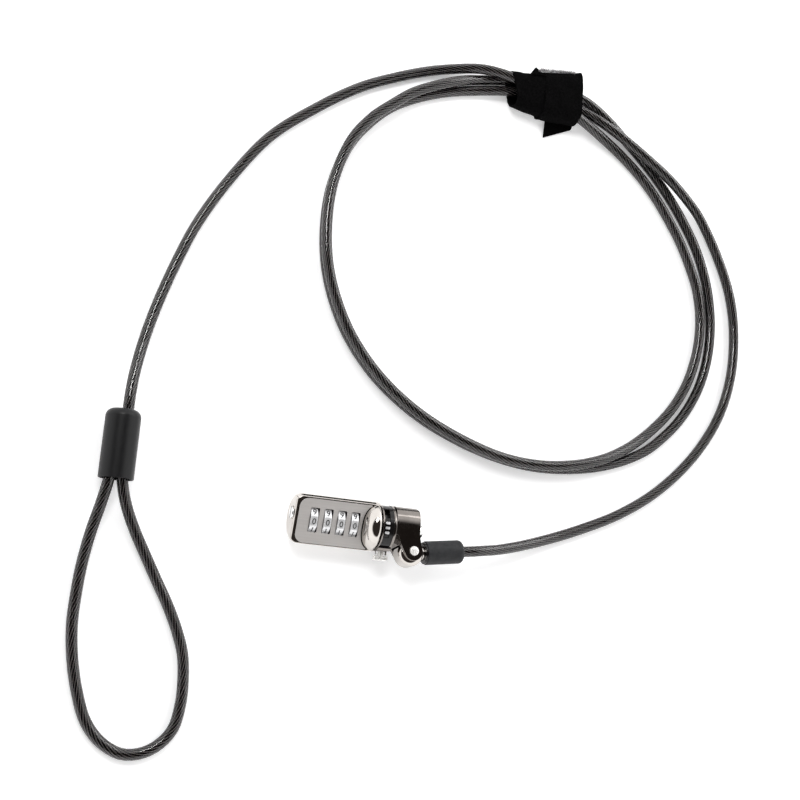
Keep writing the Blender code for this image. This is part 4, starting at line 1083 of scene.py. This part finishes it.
def make_yoke():
    """The overlap of an end view and a plan view, slotted for the lug, with its edges rounded."""
    x0, x1 = YOKE
    end_view = []
    for i in range(49):
        a = pi * (i / 48 - 0.5)
        end_view.append((YOKE_RADIUS * cos(a) ** YOKE_BLUNT,
                         YOKE_HALF_DEPTH * abs(sin(a)) ** YOKE_BLUNT * (1 if a > 0 else -1)))
    end_view += [(-4 * MM, 9.1 * MM), (-8 * MM, EAR_TOP), (-16 * MM, EAR_TOP - 0.8 * MM)]
    end_view += [(-16 * MM, 0.8 * MM - EAR_TOP), (-8 * MM, -EAR_TOP), (-4 * MM, -9.1 * MM)]
    yoke = prism("yoke_forging", YOKE_FRAME @ ACROSS_X, end_view, x0, x1 + 6 * MM)
    plan = [(x0, 10.5 * MM), (x1 - 2.6 * MM, 10.5 * MM)]
    plan += arc((x1 - 3.2 * MM, 6.6 * MM), 3.2 * MM, pi / 4, 0, 10)
    plan += [(x1, -4.0 * MM)]
    plan += arc(PIN.xy, EAR_RADIUS, radians(25), radians(-150), 40)
    plan += [(x0, -3.2 * MM)]
    carve(yoke, prism("plan", YOKE_FRAME, plan, -15 * MM, 15 * MM), operation="INTERSECT")
    eye_room = EYE_RADIUS + 0.15 * MM
    carve(yoke,
          box("lug_slot", YOKE_FRAME, (PIN.x - eye_room, -20 * MM, -SLOT_HALF),
              (70 * MM, -4.4 * MM, SLOT_HALF)),
          rod("post_bore", YOKE_FRAME, 40 * MM, 62 * MM, POST_BORE),
          rod("washer_seat", YOKE_FRAME, 44 * MM, 47.4 * MM, 5.9 * MM))
    ease(yoke, 0.45 * MM, 40, 4)
    carve(yoke, rod("rivet_hole", RIVET_FRAME, -12 * MM, 12 * MM, RIVET_BORE))
    show(yoke, LOOKS["dark_nickel"], "yoke_group", "black_nickel", "yoke")


def make_rivet():
    radius, height = RIVET_HEAD
    low = EAR_TOP + 0.1 * MM
    side = [(0, RIVET_RADIUS), (low, RIVET_RADIUS), (low, radius), (low + height, radius - 0.2 * MM),
            (low + height, 0)]
    upper = soften(side, 0.35 * MM, False)
    lower = [(-x, r) for x, r in reversed(upper)]
    rivet = lathe("rivet", RIVET_FRAME, lower[:-1] + upper[1:], 64)
    show(rivet, LOOKS["cast_silver"], "yoke_group", "bright_steel", "yoke_rivet")


def make_lug():
    bore = RIVET_RADIUS + 0.2 * MM
    rim = arc((EYE_HALF - EYE_ROUND, EYE_RADIUS - EYE_ROUND), EYE_ROUND, pi / 2, 0, 10)
    profile = [(-x, r) for x, r in reversed(rim)] + rim + [(EYE_HALF, bore), (-EYE_HALF, bore)]
    lug = lathe("lug_eye", LUG @ TO_Z, profile, 96, closed=True)
    join(lug, rod("neck", LUG, 4.5 * MM, 12 * MM, 3.1 * MM))
    show(lug, LOOKS["black_nickel"], "cable", "black_nickel", "cable_lug")
    lip = BOOT_RADIUS - 0.4 * MM
    x0, x1 = FERRULE
    ring = [(x0, 3.2 * MM), (x0, lip), (x0 + 1.2 * MM, lip), (x0 + 1.2 * MM, 3.8 * MM),
            (x1, 3.8 * MM), (x1, 2.6 * MM), (12.3 * MM, 2.6 * MM), (12.3 * MM, 3.2 * MM)]
    ferrule = lathe("ferrule_ring", LUG, soften(ring, 0.3 * MM), 96, closed=True)
    show(ferrule, LOOKS["black_gloss"], "cable", "black_nickel", "lug_ferrule")


def make_boot():
    x0, x1 = BOOT
    bore, inner = CABLE_RADIUS + 0.05 * MM, 3.9 * MM
    step = FERRULE[1] + 0.2 * MM
    profile = soften([(x1, bore), (x1, BOOT_RADIUS), (x0, BOOT_RADIUS), (x0, inner), (step, inner),
                      (step, bore)], 0.35 * MM)
    shoulder = arc((x1 - BOOT_END, BOOT_RADIUS - BOOT_END), BOOT_END, 0, pi / 2, 12)
    rest = [point for point in profile if point[0] < x1 - BOOT_END - 0.1 * MM or point[1] < 3.0 * MM]
    split = next(i for i, point in enumerate(rest) if point[0] < x1 - BOOT_END - 0.1 * MM)
    boot = lathe("rubber_boot", LUG, rest[:split] + shoulder + rest[split:], 96, closed=True)
    show(boot, LOOKS["boot_rubber"], "cable", "rubber", "cable_boot")


def dress_inner_parts():
    """Hidden pieces and small ones keep their shapes and get the finishes of their slots."""
    for row in frame["record"]["subparts"]:
        node = frame["nodes"].get(row["node"])
        look = LOOKS.get(row["material_slot"])
        if node and look:
            node.material_slots[0].material = look


make_camera()
LOOKS = {made.__name__: made() for made in (
    black_nickel, dark_nickel, satin_grey, bright_steel, polished_edge, wheel_silver, cast_silver,
    black_gloss, spring_steel, brass, boot_rubber, sleeve_plastic, smoked_vinyl, rope_steel,
    hook_and_loop, loop_pile, number_ink)}
jacket, rope, cable_line = make_cable()
crimp_pieces = make_crimp()
tie_pieces = make_tie()
make_floor()
make_world()
make_light("key_box", (0.62, 0.55, 0.50), 1.2, (0.7, 0.7), 2.4)
make_light("top_strip", (-0.351, 0.416, 0.839), 0.9, (0.40, 0.20), 13)
make_barrel()
make_plate()
make_dials()
make_reset_screw()
make_collar()
make_slider()
make_cleat()
make_post()
make_yoke()
make_rivet()
make_lug()
make_boot()
dress_inner_parts()
